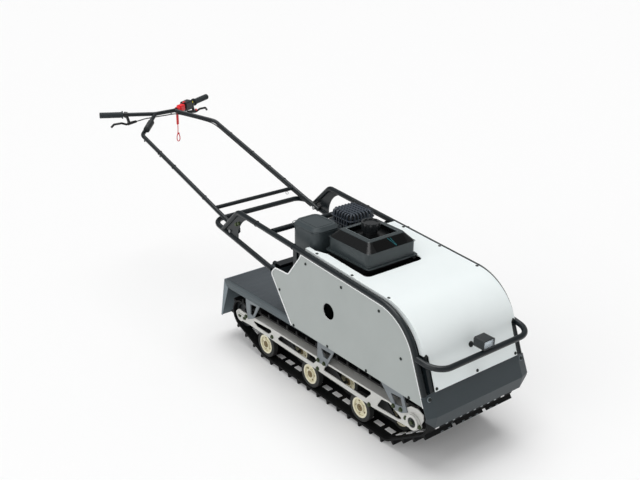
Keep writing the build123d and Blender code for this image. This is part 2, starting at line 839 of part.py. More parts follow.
# Pillars: dark posts between the rails and the hood's narrow lower part
pillar_y = rail_inner_y - 4.5
with BuildPart() as pillars:
    for low_y, high_y, outer, inner in (
        (pillar_near_y, pillar_y, 8, 13), (pillar_y - 4, pillar_y, 12, 22), (pillar_y - 4, pillar_far_y, 21, 36)):
        band = hood_band(outer, inner)
        for start in (low_y, -high_y):
            extrude(band.moved(Location((0, -start, 0))), amount=high_y - low_y)
    with BuildSketch(Plane.YZ):
        with Locations((0, pillar_top_z + 200)):
            Rectangle(2 * panel_y, 400)
        with Locations((pillar_middle_y, pillar_top_z), (-pillar_middle_y, pillar_top_z)):
            Circle(pillar_dome, mode=Mode.SUBTRACT)
    extrude(amount=2 * hood_corner[0], mode=Mode.SUBTRACT)

# Uprights: flat posts from the sills to the rails beside the engine
upright_x = 390.0
upright_width = 26.0
upright_thick = 11.0
upright_outer_y = panel_y - 5.0
for start in (upright_outer_y - upright_thick, -upright_outer_y):
    with BuildPart() as upright:
        with BuildSketch(right.offset(start)):
            with BuildLine():
                left_x, right_x = upright_x - upright_width / 2, upright_x + upright_width / 2
                top = [rail_height(x) - rail_radius / cos(atan2(rail_slope, 1)) for x in (left_x, right_x)]
                Polyline(
                    (left_x, sill_top_z), (right_x, sill_top_z), (right_x, top[1]), (left_x, top[0]), close=True)
            make_face()
        extrude(amount=upright_thick)
    pillars.part = pillars.part + upright.part
save(pillars, "frame_pillars")


bumper_start = (1171.0, 502.0)
with BuildPart() as bumper:
    add(solid_tube(
        [(bumper_start[0], -rail_y, bumper_start[1]), (bumper_x, -bumper_half, bumper_z),
         (bumper_x, bumper_half, bumper_z), (bumper_start[0], rail_y, bumper_start[1])],
        bumper_bend, bumper_radius))
    for side in (1, -1):
        add(solid_tube(rail_points(side), rail_bends, rail_radius + running_gap), mode=Mode.SUBTRACT)
save(bumper, "bumper")

lamp_foot = 3.0
lamp_bottom_z = bumper_z + bumper_radius + lamp_foot
lamp_lip = 5.0
lens_deep = 5.0
with BuildPart() as lamp:
    with BuildSketch(Plane.YZ.offset(lamp_front_x - lamp_depth)):
        with Locations((0, lamp_bottom_z + lamp_height / 2)):
            RectangleRounded(lamp_width, lamp_height, 9)
    extrude(amount=lamp_depth)
    with BuildSketch(Plane.YZ.offset(lamp_front_x)):
        with Locations((0, lamp_bottom_z + lamp_height / 2)):
            RectangleRounded(lamp_width - 2 * lamp_lip, lamp_height - 2 * lamp_lip, 5)
    extrude(amount=-lens_deep - 4, mode=Mode.SUBTRACT)
    with BuildSketch(Plane.XY.offset(bumper_z + bumper_radius)):
        with Locations((lamp_front_x - 26, 0)):
            Rectangle(24, 30)
    extrude(amount=lamp_foot)
save(lamp, "headlight")

with BuildPart() as lens:
    with BuildSketch(Plane.YZ.offset(lamp_front_x - lens_deep)):
        with Locations((0, lamp_bottom_z + lamp_height / 2)):
            RectangleRounded(lamp_width - 2 * lamp_lip - 2 * running_gap, lamp_height - 2 * lamp_lip - 2 * running_gap, 5)
    extrude(amount=3)
save(lens, "headlight_lens")

# Engine: plain block on the tunnel, with a rear step below the filter and muffler
engine_front_x = 722.0
engine_step_x = filter_x + filter_length / 2
engine_tail_x = 300.0
engine_tail_deep = 160.0
engine_far_y = 88.0
engine_near_y = -158.0
engine_top_z = tank_bottom_z - 6
with BuildPart() as engine:
    with BuildSketch(right.offset(-engine_far_y)):
        with BuildLine():
            Polyline(
                (engine_step_x, tunnel_z(engine_step_x)), (engine_front_x, tunnel_z(engine_front_x)),
                (engine_front_x, engine_top_z), (engine_step_x, engine_top_z), close=True)
        make_face()
    extrude(amount=engine_far_y - engine_near_y)
    with BuildSketch(right.offset(-guard_y - guard_width / 2)):
        with BuildLine():
            Polyline(
                (engine_tail_x, filter_bottom_z - engine_tail_deep),
                (engine_step_x, filter_bottom_z - engine_tail_deep), (engine_step_x, filter_bottom_z),
                (engine_tail_x, filter_bottom_z), close=True)
        make_face()
    extrude(amount=guard_y + guard_width / 2 + 190)
    with BuildSketch(Plane.XY.offset(filter_bottom_z)):
        with Locations(((engine_tail_x + engine_step_x) / 2, guard_y)):
            Rectangle(engine_step_x - engine_tail_x, guard_width - 20)
    extrude(amount=guard_lift)
save(engine, "engine_block")

# Fuel tank: flanged, with sloped shoulders and a sunken filler deck
with BuildPart() as tank:
    with BuildSketch(Plane.XY.offset(engine_top_z)):
        with Locations((tank_x, tank_y)):
            RectangleRounded(tank_length + 22, tank_width + 14, 30)
    extrude(amount=6)
    with BuildSketch(Plane.XY.offset(tank_bottom_z)):
        with Locations((tank_x, tank_y)):
            RectangleRounded(tank_length, tank_width, 24)
    extrude(amount=tank_wall_top_z - tank_bottom_z)
    with BuildSketch(Plane.XY.offset(tank_wall_top_z)):
        with Locations((tank_x, tank_y)):
            RectangleRounded(tank_length, tank_width, 24)
    with BuildSketch(Plane.XY.offset(tank_top_z)):
        with Locations((tank_x, tank_y)):
            RectangleRounded(tank_length - 2 * tank_shoulder, tank_width - 2 * tank_shoulder + 10, 14)
    loft(ruled=True)
    recess_inset = 2 * (tank_shoulder + tank_rim)
    with BuildSketch(Plane.XY.offset(tank_top_z - tank_recess)):
        with Locations((tank_x, tank_y)):
            RectangleRounded(tank_length - recess_inset, tank_width - recess_inset, 8)
    extrude(amount=tank_recess, mode=Mode.SUBTRACT)
save(tank, "fuel_tank")

cap_x = 611.0
cap_y = -32.0
cap_flutes = 16
with BuildPart() as cap:
    with BuildSketch(Plane.XY.offset(tank_top_z - tank_recess)):
        with Locations((cap_x, cap_y)):
            Circle(cap_radius - 11)
    extrude(amount=tank_recess)
    with BuildSketch(Plane.XY.offset(tank_top_z - 4)):
        with Locations((cap_x, cap_y)):
            Circle(cap_radius)
            with PolarLocations(cap_radius + 2, cap_flutes):
                Circle(4.5, mode=Mode.SUBTRACT)
    extrude(amount=cap_height)
    with BuildSketch(Plane.XY.offset(tank_top_z - 4 + cap_height)):
        with Locations((cap_x, cap_y)):
            Circle(cap_radius - 8)
    extrude(amount=-5, mode=Mode.SUBTRACT)
save(cap, "fuel_cap")

with BuildPart() as air_filter:
    with BuildSketch(Plane.XY.offset(filter_bottom_z)):
        with Locations((filter_x, filter_y)):
            RectangleRounded(filter_length - 1, filter_width, 42)
    extrude(amount=filter_top_z - filter_bottom_z)
    chamfer(air_filter.faces().sort_by(Axis.Z)[-1].edges(), 13)
save(air_filter, "air_filter")

# Muffler under a guard of bars: a rounded shell, slotted along its sides, ends and top
guard_wall = 5.0
guard_slots = 7
slot_pitch = 18.0
slot_width = 11.0
guard_mid_z = (guard_bottom_z + guard_top_z) / 2
slot_places = [slot_pitch * (i - (guard_slots - 1) / 2) for i in range(guard_slots)]
slot_heights = [(guard_bottom_z + 10, guard_mid_z - 4), (guard_mid_z + 4, guard_top_z - 12)]
with BuildPart() as guard:
    with BuildSketch(Plane.XY.offset(guard_bottom_z)):
        with Locations((guard_x, guard_y)):
            RectangleRounded(guard_length, guard_width, 30)
    extrude(amount=guard_high)
    fillet(guard.faces().sort_by(Axis.Z)[-1].edges(), 24)
    offset(amount=-guard_wall, openings=guard.faces().sort_by(Axis.Z)[0])
    with BuildSketch(Plane.XZ.offset(-guard_y - guard_width)):
        for place in slot_places:
            for low, high in slot_heights:
                with Locations((guard_x + place, (low + high) / 2)):
                    Rectangle(slot_width, high - low)
    extrude(amount=2 * guard_width, mode=Mode.SUBTRACT)
    with BuildSketch(Plane.YZ.offset(guard_x)):
        for place in slot_places[1:-1]:
            for low, high in slot_heights:
                with Locations((guard_y + place, (low + high) / 2)):
                    Rectangle(slot_width, high - low)
    extrude(amount=guard_length, mode=Mode.SUBTRACT)
    with BuildSketch(Plane.XY.offset(guard_top_z - 20)):
        for place in slot_places[1:-1]:
            with Locations((guard_x + place, guard_y - 27), (guard_x + place, guard_y + 27)):
                Rectangle(slot_width, 46)
    extrude(amount=40, mode=Mode.SUBTRACT)
save(guard, "muffler_guard")

with BuildPart() as muffler:
    with BuildSketch(Plane.XY.offset(guard_bottom_z)):
        with Locations((guard_x, guard_y)):
            RectangleRounded(guard_length - 36, guard_width - 36, 24)
    extrude(amount=guard_high - 20)
    fillet(muffler.faces().sort_by(Axis.Z)[-1].edges(), 18)
save(muffler, "muffler")

# Hood surround: black tray between the hood's opening and the engine
tray_deep = 36.0
tray_wall = 3.0
tray_rear_x = 480.0
tray_front_x = hood_cut_front_x + 14
tray_near_y = hood_cut_near_y - 14
tray_far_y = hood_cut_far_y + 14


def tray_z(x, depth):
    point = offset_point(hood_rear, hood_corner, hood_rear, hood_thick + depth)
    return point[1] + slope_line(hood_rear, hood_corner) * (x - point[0])


with BuildPart() as tray:
    with BuildSketch(right.offset(-tray_far_y)):
        with BuildLine():
            Polyline(
                (tray_rear_x, tray_z(tray_rear_x, 0)), (tray_front_x, tray_z(tray_front_x, 0)),
                (tray_front_x, tray_z(tray_front_x, tray_deep)), (tray_rear_x, tray_z(tray_rear_x, tray_deep)),
                close=True)
        make_face()
    extrude(amount=tray_far_y - tray_near_y)
    with BuildSketch(right.offset(-tray_far_y + 10)):
        with BuildLine():
            Polyline(
                (tray_rear_x - 5, tray_z(tray_rear_x - 5, -5)), (tray_front_x - 10, tray_z(tray_front_x - 10, -5)),
                (tray_front_x - 10, tray_z(tray_front_x - 10, tray_deep - tray_wall)),
                (tray_rear_x - 5, tray_z(tray_rear_x - 5, tray_deep - tray_wall)), close=True)
        make_face()
    extrude(amount=tray_far_y - tray_near_y - 20, mode=Mode.SUBTRACT)
    with BuildSketch(Plane.XY.offset(600)):
        with Locations(((tray_rear_x - 20 + engine_front_x) / 2, (engine_far_y + engine_near_y) / 2)):
            Rectangle(engine_front_x + 20 - tray_rear_x, engine_far_y - engine_near_y)
    extrude(amount=200, mode=Mode.SUBTRACT)
save(tray, "hood_surround")

knob_y = -240.0
knob_z = member_z + 4
with BuildPart() as knob:
    with BuildSketch(Plane.YZ.offset(member_x - 22)):
        with Locations((knob_y, knob_z)):
            Circle(5)
    extrude(amount=-14)
    with BuildSketch(Plane.YZ.offset(member_x - 36)):
        with Locations((knob_y, knob_z)):
            Circle(12)
    extrude(amount=-22)
    fillet(knob.faces().sort_by(Axis.X)[0].edges(), 6)
save(knob, "latch_knob")

# Handlebar pivots: bolt, spacer and head on each gusset
with BuildPart() as pivots:
    for side in (1, -1):
        for low, high, radius in (
            (arm_foot[1] - arm_radius - 3, arm_foot[1] + arm_radius + 1, pivot_bolt_radius),
            (arm_foot[1] + arm_radius + 1, rail_y - gusset_thick / 2, 8),
            (rail_y - gusset_thick / 2, rail_y + gusset_thick / 2, pivot_bolt_radius),
            (rail_y + gusset_thick / 2, rail_y + gusset_thick / 2 + 6, 7.5),
            (arm_foot[1] - arm_radius - 8, arm_foot[1] - arm_radius - 3, 9)):
            with BuildSketch(right.offset(low if side > 0 else -high)):
                with Locations((arm_foot[0], arm_foot[2])):
                    Circle(radius)
            extrude(amount=high - low)
save(pivots, "pivot_bolts")


# Handlebar
def mirrored(point, side):
    return (point[0], side * point[1], point[2])


grip_cap = 3.0
bar_run = Vector(*arm_top) - Vector(*grip_end)
bar_dir = bar_run.normalized()
bar_tip = Vector(*grip_end) + bar_dir * grip_cap
bar_points = [
    (bar_tip.X, -bar_tip.Y, bar_tip.Z), mirrored(arm_top, -1), arm_top, (bar_tip.X, bar_tip.Y, bar_tip.Z)]
with BuildPart() as bar:
    add(solid_tube(bar_points, bar_bend_radius, arm_radius))
save(bar, "handlebar_bar")

arm_lead = 22.0
arm_run = Vector(*arm_foot) - Vector(*arm_bend)
arm_tip = Vector(*arm_foot) + arm_run.normalized() * arm_lead
upper = Vector(*arm_top) + (Vector(*arm_bend) - Vector(*arm_top)).normalized() * 4
arm_share = (handle_cross_x - arm_foot[0]) / (arm_bend[0] - arm_foot[0])
cross_z = arm_foot[2] + arm_share * (arm_bend[2] - arm_foot[2])
cross_y = arm_foot[1] + arm_share * (arm_bend[1] - arm_foot[1])
with BuildPart() as arms:
    with BuildSketch(right.offset(-cross_y)):
        with Locations((handle_cross_x, cross_z)):
            Circle(arm_radius - 1)
    extrude(amount=2 * cross_y)
    for side in (1, -1):
        add(solid_tube(
            [(arm_tip.X, side * arm_tip.Y, arm_tip.Z), mirrored(arm_bend, side),
             (upper.X, side * upper.Y, upper.Z)], arm_bend_radius, arm_radius))
    add(solid_tube(bar_points, bar_bend_radius, arm_radius + running_gap), mode=Mode.SUBTRACT)
    with BuildSketch(right.offset(-300)):
        with Locations((arm_foot[0], arm_foot[2])):
            Circle(pivot_bolt_radius + running_gap)
    extrude(amount=600, mode=Mode.SUBTRACT)
save(arms, "handlebar_arms")

with BuildPart() as grips:
    for side in (1, -1):
        direction = (bar_dir.X, side * bar_dir.Y, bar_dir.Z)
        with BuildSketch(Plane(origin=mirrored(grip_end, side), z_dir=direction)):
            Circle(grip_radius)
        extrude(amount=grip_length)
        with BuildSketch(Plane(origin=mirrored(grip_end, side), z_dir=direction).offset(grip_length - 6)):
            Circle(grip_radius + 5)
        extrude(amount=6)
        with BuildSketch(Plane(origin=mirrored(grip_end, side), z_dir=direction).offset(grip_cap)):
            Circle(arm_radius + running_gap)
        extrude(amount=grip_length, mode=Mode.SUBTRACT)
save(grips, "grips")


def bar_plane(side, distance):
    """Plane across the bar at a distance from the grip's outer end."""
    centre = Vector(*grip_end) + bar_dir * distance
    return Plane(origin=(centre.X, side * centre.Y, centre.Z), z_dir=(bar_dir.X, side * bar_dir.Y, bar_dir.Z),
                 x_dir=(bar_dir.Y, -side * bar_dir.X, 0))


# Brake levers: a clamp just inside each grip, a stout perch and a bent blade
lever_at = 138.0
perch_radius = 9.5
blade_radius = 6.0
perch_points = [(-1223, 163, 872), (-1223, 214, 867)]
blade_points = [(-1223, 200, 868), (-1224, 222, 864), (-1228, 250, 875), (-1236, 292, 873), (-1243, 306, 857)]
with BuildPart() as levers:
    for side in (1, -1):
        with BuildSketch(bar_plane(side, lever_at)):
            Circle(arm_radius + 5)
            Circle(arm_radius + running_gap, mode=Mode.SUBTRACT)
        extrude(amount=14)
        tail, head = [Vector(*mirrored(point, side)) for point in perch_points]
        with BuildSketch(Plane(origin=tail, z_dir=head - tail)):
            Circle(perch_radius - 2.5)
        with BuildSketch(Plane(origin=head, z_dir=head - tail)):
            Circle(perch_radius)
        loft()
        with BuildLine() as blade_path:
            FilletPolyline(*[mirrored(point, side) for point in blade_points], radius=10)
        with BuildSketch(Plane(origin=blade_path.line @ 0, z_dir=blade_path.line % 0)):
            Circle(blade_radius)
        sweep(path=blade_path.line)
        post = Vector(*grip_end) + bar_dir * (lever_at + 7)
        reach = Vector(-1223, 206, 869) - post
        with BuildSketch(Plane(origin=mirrored(tuple(post + reach.normalized() * 6), side),
                               z_dir=(reach.X, side * reach.Y, reach.Z))):
            Circle(8)
        extrude(amount=reach.length - 6)
    add(solid_tube(bar_points, bar_bend_radius, arm_radius + running_gap), mode=Mode.SUBTRACT)
save(levers, "brake_levers")

# Controls: switch box on the left bar, and a small can on the right arm below the bar
switch_from, switch_length = 166.0, 54.0
can_radius = 17.5
can_from, can_to = 24.0, 106.0
arm_up = (Vector(*mirrored(arm_top, -1)) - Vector(*mirrored(arm_bend, -1))).normalized()
can_side = (Vector(0.61, 0.324, 0.723) - arm_up * arm_up.dot(Vector(0.61, 0.324, 0.723))).normalized()
can_base = Vector(*mirrored(arm_bend, -1)) + can_side * (arm_radius + can_radius + 0.1)
with BuildPart() as controls:
    with BuildSketch(bar_plane(1, switch_from)):
        RectangleRounded(46, 52, 9)
        Circle(arm_radius + running_gap, mode=Mode.SUBTRACT)
    extrude(amount=switch_length)
    with BuildSketch(Plane(origin=can_base + arm_up * can_from, z_dir=arm_up)):
        Circle(can_radius)
    extrude(amount=can_to - can_from)
    with BuildSketch(Plane(origin=can_base + arm_up * can_to, z_dir=arm_up)):
        Circle(can_radius - 6)
    extrude(amount=12)
save(controls, "bar_controls")

# Red stop switch with its pull cap, and the lanyard that hangs from the cap
stop_from, stop_length = 228.0, 34.0
cap_length = 24.0
stop_cap_radius = 14.0
with BuildPart() as stop_switch:
    with BuildSketch(bar_plane(1, stop_from)):
        RectangleRounded(34, 36, 8)
        Circle(arm_radius + running_gap, mode=Mode.SUBTRACT)
    extrude(amount=stop_length)
    with BuildSketch(bar_plane(1, stop_from + stop_length)):
        Circle(stop_cap_radius)
        Circle(arm_radius + running_gap, mode=Mode.SUBTRACT)
    extrude(amount=cap_length)
save(stop_switch, "stop_switch")

tag_hang = Vector(*grip_end) + bar_dir * (stop_from + stop_length + cap_length - 6)
tag_top_z = tag_hang.Z - stop_cap_radius - 0.3
tag_length = 74.0
tag_width = 14.0
tag_thick = 3.0
with BuildPart() as tag:
    with BuildSketch(Plane.XY.offset(tag_top_z)):
        with Locations((tag_hang.X, tag_hang.Y)):
            Rectangle(tag_thick, tag_width)
    extrude(amount=-tag_length)
    fillet(tag.edges().filter_by(Axis.X), 3)
save(tag, "lanyard_tag")

cord_radius = 2.0
cord_steps = [(0, 0), (0, -46), (-9, -66), (-10, -86), (-5, -98), (5, -98), (10, -86), (9, -68), (3.4, -55)]
cord_bends = [15, 15, 12, 6, 6, 12, 12]
cord_top_z = tag_top_z - tag_length - 0.2
cord_points = [(tag_hang.X, tag_hang.Y + y, cord_top_z + z) for y, z in cord_steps]
with BuildPart() as lanyard:
    add(solid_tube(cord_points, cord_bends, cord_radius))
save(lanyard, "stop_lanyard")
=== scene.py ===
import bpy
import math
from mathutils import Euler, Matrix, Vector


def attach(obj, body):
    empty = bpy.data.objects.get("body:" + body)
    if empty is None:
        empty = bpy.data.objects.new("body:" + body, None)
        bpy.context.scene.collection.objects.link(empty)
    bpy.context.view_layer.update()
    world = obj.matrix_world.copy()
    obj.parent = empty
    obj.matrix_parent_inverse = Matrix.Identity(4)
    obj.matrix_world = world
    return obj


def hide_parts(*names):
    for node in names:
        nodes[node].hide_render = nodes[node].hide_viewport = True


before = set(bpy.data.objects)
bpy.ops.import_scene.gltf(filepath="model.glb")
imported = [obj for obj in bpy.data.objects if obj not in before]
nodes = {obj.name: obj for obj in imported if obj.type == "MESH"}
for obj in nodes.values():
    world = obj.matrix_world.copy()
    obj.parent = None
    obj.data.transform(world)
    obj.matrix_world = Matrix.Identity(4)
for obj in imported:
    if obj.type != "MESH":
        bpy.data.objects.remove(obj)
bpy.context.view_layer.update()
scene = bpy.context.scene
scene.view_settings.view_transform = 'Standard'


# Helpers for node trees
def setInputs(node, values):
    for socketName, value in values.items():
        node.inputs[socketName].default_value = value
    return node


def newNode(tree, kind, values={}):
    return setInputs(tree.nodes.new("ShaderNode" + kind), values)


def mathNode(tree, operation, first, second):
    node = newNode(tree, "Math")
    node.operation = operation
    node.use_clamp = operation == 'SUBTRACT'
    for socket, value in zip(node.inputs, (first, second)):
        if isinstance(value, (int, float)):
            socket.default_value = value
        else:
            tree.links.new(value, socket)
    return node.outputs[0]


# Camera, world and lamps
cameraSpec = {
    "spot": (3.45716, -2.53889, 2.35348),
    "azimuth": 51.773,
    "elevation": 23.072,
    "roll": 0.388,
    "lens": 53.88,
}
cameraData = bpy.data.cameras.new("photoCamera")
cameraData.lens = cameraSpec["lens"]
cameraData.sensor_width = 36
camera = bpy.data.objects.new("photoCamera", cameraData)
scene.collection.objects.link(camera)
camera.location = cameraSpec["spot"]
turn = Euler((0, 0, math.radians(cameraSpec["azimuth"]))).to_matrix()
tilt = Euler((math.radians(90 - cameraSpec["elevation"]), 0, 0)).to_matrix()
lean = Euler((0, 0, math.radians(cameraSpec["roll"]))).to_matrix()
camera.rotation_euler = (turn @ tilt @ lean).to_euler()
scene.camera = camera

studioSpec = {
    "worldLight": 0.32, "worldSeen": 1.0,
    "lamps": [
        # name, direction that it shines, half angle in degrees, strength
        ("topSun", (0.16, -0.05, -1.0), 24, 1.9),
        ("frontSun", (-0.9, 0.25, -0.75), 40, 0.14),
        ("sideSun", (-0.1, 0.85, -0.5), 30, 0.95),
    ],
}
world = bpy.data.worlds.new("studio")
scene.world = world
world.use_nodes = True
tree = world.node_tree
tree.nodes.clear()
rays = newNode(tree, "LightPath")
seen = mathNode(tree, 'MAXIMUM', rays.outputs["Is Camera Ray"], rays.outputs["Is Transmission Ray"])
blendWorld = newNode(tree, "MixShader")
tree.links.new(seen, blendWorld.inputs[0])
for socketAt, strengthName in ((1, "worldLight"), (2, "worldSeen")):
    glow = newNode(tree, "Background", {"Color": (1, 1, 1, 1), "Strength": studioSpec[strengthName]})
    tree.links.new(glow.outputs[0], blendWorld.inputs[socketAt])
tree.links.new(blendWorld.outputs[0], newNode(tree, "OutputWorld").inputs[0])

for lampName, lampWay, lampAngle, lampStrength in studioSpec["lamps"]:
    lampData = bpy.data.lights.new(lampName, 'SUN')
    lampData.angle = math.radians(2 * lampAngle)
    lampData.energy = lampStrength
    lamp = bpy.data.objects.new(lampName, lampData)
    scene.collection.objects.link(lamp)
    lamp.rotation_euler = Vector(lampWay).to_track_quat('-Z', 'Y').to_euler()
print("studio ready")


# Shared effects, as node groups
def newGroup(name, inputs, outputs):
    group = bpy.data.node_groups.new(name, 'ShaderNodeTree')
    for socketName, value in inputs.items():
        socket = group.interface.new_socket(name=socketName, in_out='INPUT', socket_type='NodeSocketFloat')
        socket.default_value = value
    for socketName in outputs:
        group.interface.new_socket(name=socketName, in_out='OUTPUT', socket_type='NodeSocketFloat')
    return group, group.nodes.new("NodeGroupInput"), group.nodes.new("NodeGroupOutput")


def buildBreakup():  # broad patches and fine grain
    group, entry, leave = newGroup("paintBreakup", {"PatchScale": 6.0, "GrainScale": 900.0}, ["Patches", "Grain"])
    where = newNode(group, "TexCoord")
    broad = newNode(group, "TexNoise", {"Detail": 5, "Roughness": 0.6})
    fine = newNode(group, "TexNoise", {"Detail": 2})
    for noise, scaleName, leaveName in ((broad, "PatchScale", "Patches"), (fine, "GrainScale", "Grain")):
        group.links.new(where.outputs["Object"], noise.inputs["Vector"])
        group.links.new(entry.outputs[scaleName], noise.inputs["Scale"])
        group.links.new(noise.outputs["Fac"], leave.inputs[leaveName])
    return group


def buildWear():  # bare, rubbed edges
    edgeSamples, edgeGain = 6, 5.0
    group, entry, leave = newGroup("edgeWear", {"Reach": 0.002, "Amount": 0.5}, ["Mask"])
    rounded = newNode(group, "Bevel")
    rounded.samples = edgeSamples
    group.links.new(entry.outputs["Reach"], rounded.inputs["Radius"])
    flat = newNode(group, "NewGeometry")
    dot = newNode(group, "VectorMath")
    dot.operation = 'DOT_PRODUCT'
    group.links.new(rounded.outputs["Normal"], dot.inputs[0])
    group.links.new(flat.outputs["Normal"], dot.inputs[1])
    edge = mathNode(group, 'SUBTRACT', 1.0, dot.outputs["Value"])
    strong = mathNode(group, 'MULTIPLY', edge, edgeGain)
    where = newNode(group, "TexCoord")
    scuff = newNode(group, "TexNoise", {"Scale": 60, "Detail": 6})
    group.links.new(where.outputs["Object"], scuff.inputs["Vector"])
    broken = mathNode(group, 'MULTIPLY', strong, scuff.outputs["Fac"])
    scaled = mathNode(group, 'MULTIPLY', broken, entry.outputs["Amount"])
    group.links.new(mathNode(group, 'MINIMUM', scaled, 1.0), leave.inputs["Mask"])
    return group


breakup = buildBreakup()
wear = buildWear()


def shade(values):  # 0 to 255 screen values to shader values
    return tuple((v / 255 / 12.92) if v <= 10 else ((v / 255 + 0.055) / 1.055) ** 2.4 for v in values) + (1.0,)


def effectNode(tree, group, values):
    node = newNode(tree, "Group")
    node.node_tree = group
    return setInputs(node, values)


def overlaid(tree, share, colour, tone):  # a tone over a colour; sockets 6, 7 and 2 are the colours in and out
    mix = newNode(tree, "Mix")
    mix.data_type = 'RGBA'
    mix.inputs[7].default_value = shade(tone)
    tree.links.new(share, mix.inputs[0])
    if isinstance(colour, tuple):
        mix.inputs[6].default_value = colour
    else:
        tree.links.new(colour, mix.inputs[6])
    return mix.outputs[2]


def split(tree, vector):  # the X, Y and Z of a vector
    parts = newNode(tree, "SeparateXYZ")
    tree.links.new(vector, parts.inputs[0])
    return parts.outputs


def finish(name, spec):
    material = bpy.data.materials.new(name)
    material.use_nodes = True
    tree = material.node_tree
    shader = setInputs(tree.nodes["Principled BSDF"], {
        "Metallic": spec.get("metal", 0.0), "Coat Weight": spec.get("coat", 0.0), "Coat Roughness": 0.15,
        "Specular IOR Level": spec.get("specular", 0.5), "Alpha": spec.get("alpha", 1.0)})
    where = newNode(tree, "TexCoord").outputs["Object"]
    marks = effectNode(tree, breakup, {"PatchScale": spec.get("patchScale", 6),
                                       "GrainScale": spec.get("grainScale", 900)})
    colour = overlaid(tree, marks.outputs["Patches"], shade(spec["dark"]), spec["light"])
    if "wear" in spec:
        rubbed = effectNode(tree, wear, {"Reach": 0.002, "Amount": spec["wear"]})
        colour = overlaid(tree, rubbed.outputs["Mask"], colour, spec["bare"])
    if "upper" in spec:  # a darker band between two heights: painted reflection of the dark surroundings on the tank's upper slopes, and painted shade on its recess walls
        level, ending, upperTone = spec["upper"]
        height = split(tree, where)["Z"]
        above = mathNode(tree, 'GREATER_THAN', height, level)
        below = mathNode(tree, 'LESS_THAN', height, ending)
        colour = overlaid(tree, mathNode(tree, 'MULTIPLY', above, below), colour, upperTone)
    if "paintedLitEdge" in spec:  # painted light: faces that don't face sideways get a paler tone, against the painted shade of the sideways faces
        facing = newNode(tree, "NewGeometry").outputs["True Normal"]
        across = mathNode(tree, 'ABSOLUTE', split(tree, facing)["Y"], 0.0)
        colour = overlaid(tree, mathNode(tree, 'LESS_THAN', across, 0.5), colour, spec["paintedLitEdge"])
    tree.links.new(colour, shader.inputs["Base Color"])
    gloss = newNode(tree, "MapRange", {"To Min": spec["rough"][0], "To Max": spec["rough"][1]})
    tree.links.new(marks.outputs["Patches"], gloss.inputs["Value"])
    tree.links.new(gloss.outputs["Result"], shader.inputs["Roughness"])
    bump = newNode(tree, "Bump", {"Strength": spec.get("bump", 0.15), "Distance": spec.get("bumpDepth", 0.0004)})
    grain = marks.outputs["Grain"]
    if "ribs" in spec:  # fine moulded ribs, as (direction, ribs in a metre, share of the height)
        ribWay, ribCount, ribShare = spec["ribs"]
        wave = newNode(tree, "TexWave", {"Scale": ribCount / 20})
        wave.bands_direction = ribWay
        tree.links.new(where, wave.inputs["Vector"])
        grain = mathNode(tree, 'ADD', mathNode(tree, 'MULTIPLY', wave.outputs["Fac"], ribShare), grain)
    tree.links.new(grain, bump.inputs["Height"])
    tree.links.new(bump.outputs["Normal"], shader.inputs["Normal"])
    return material


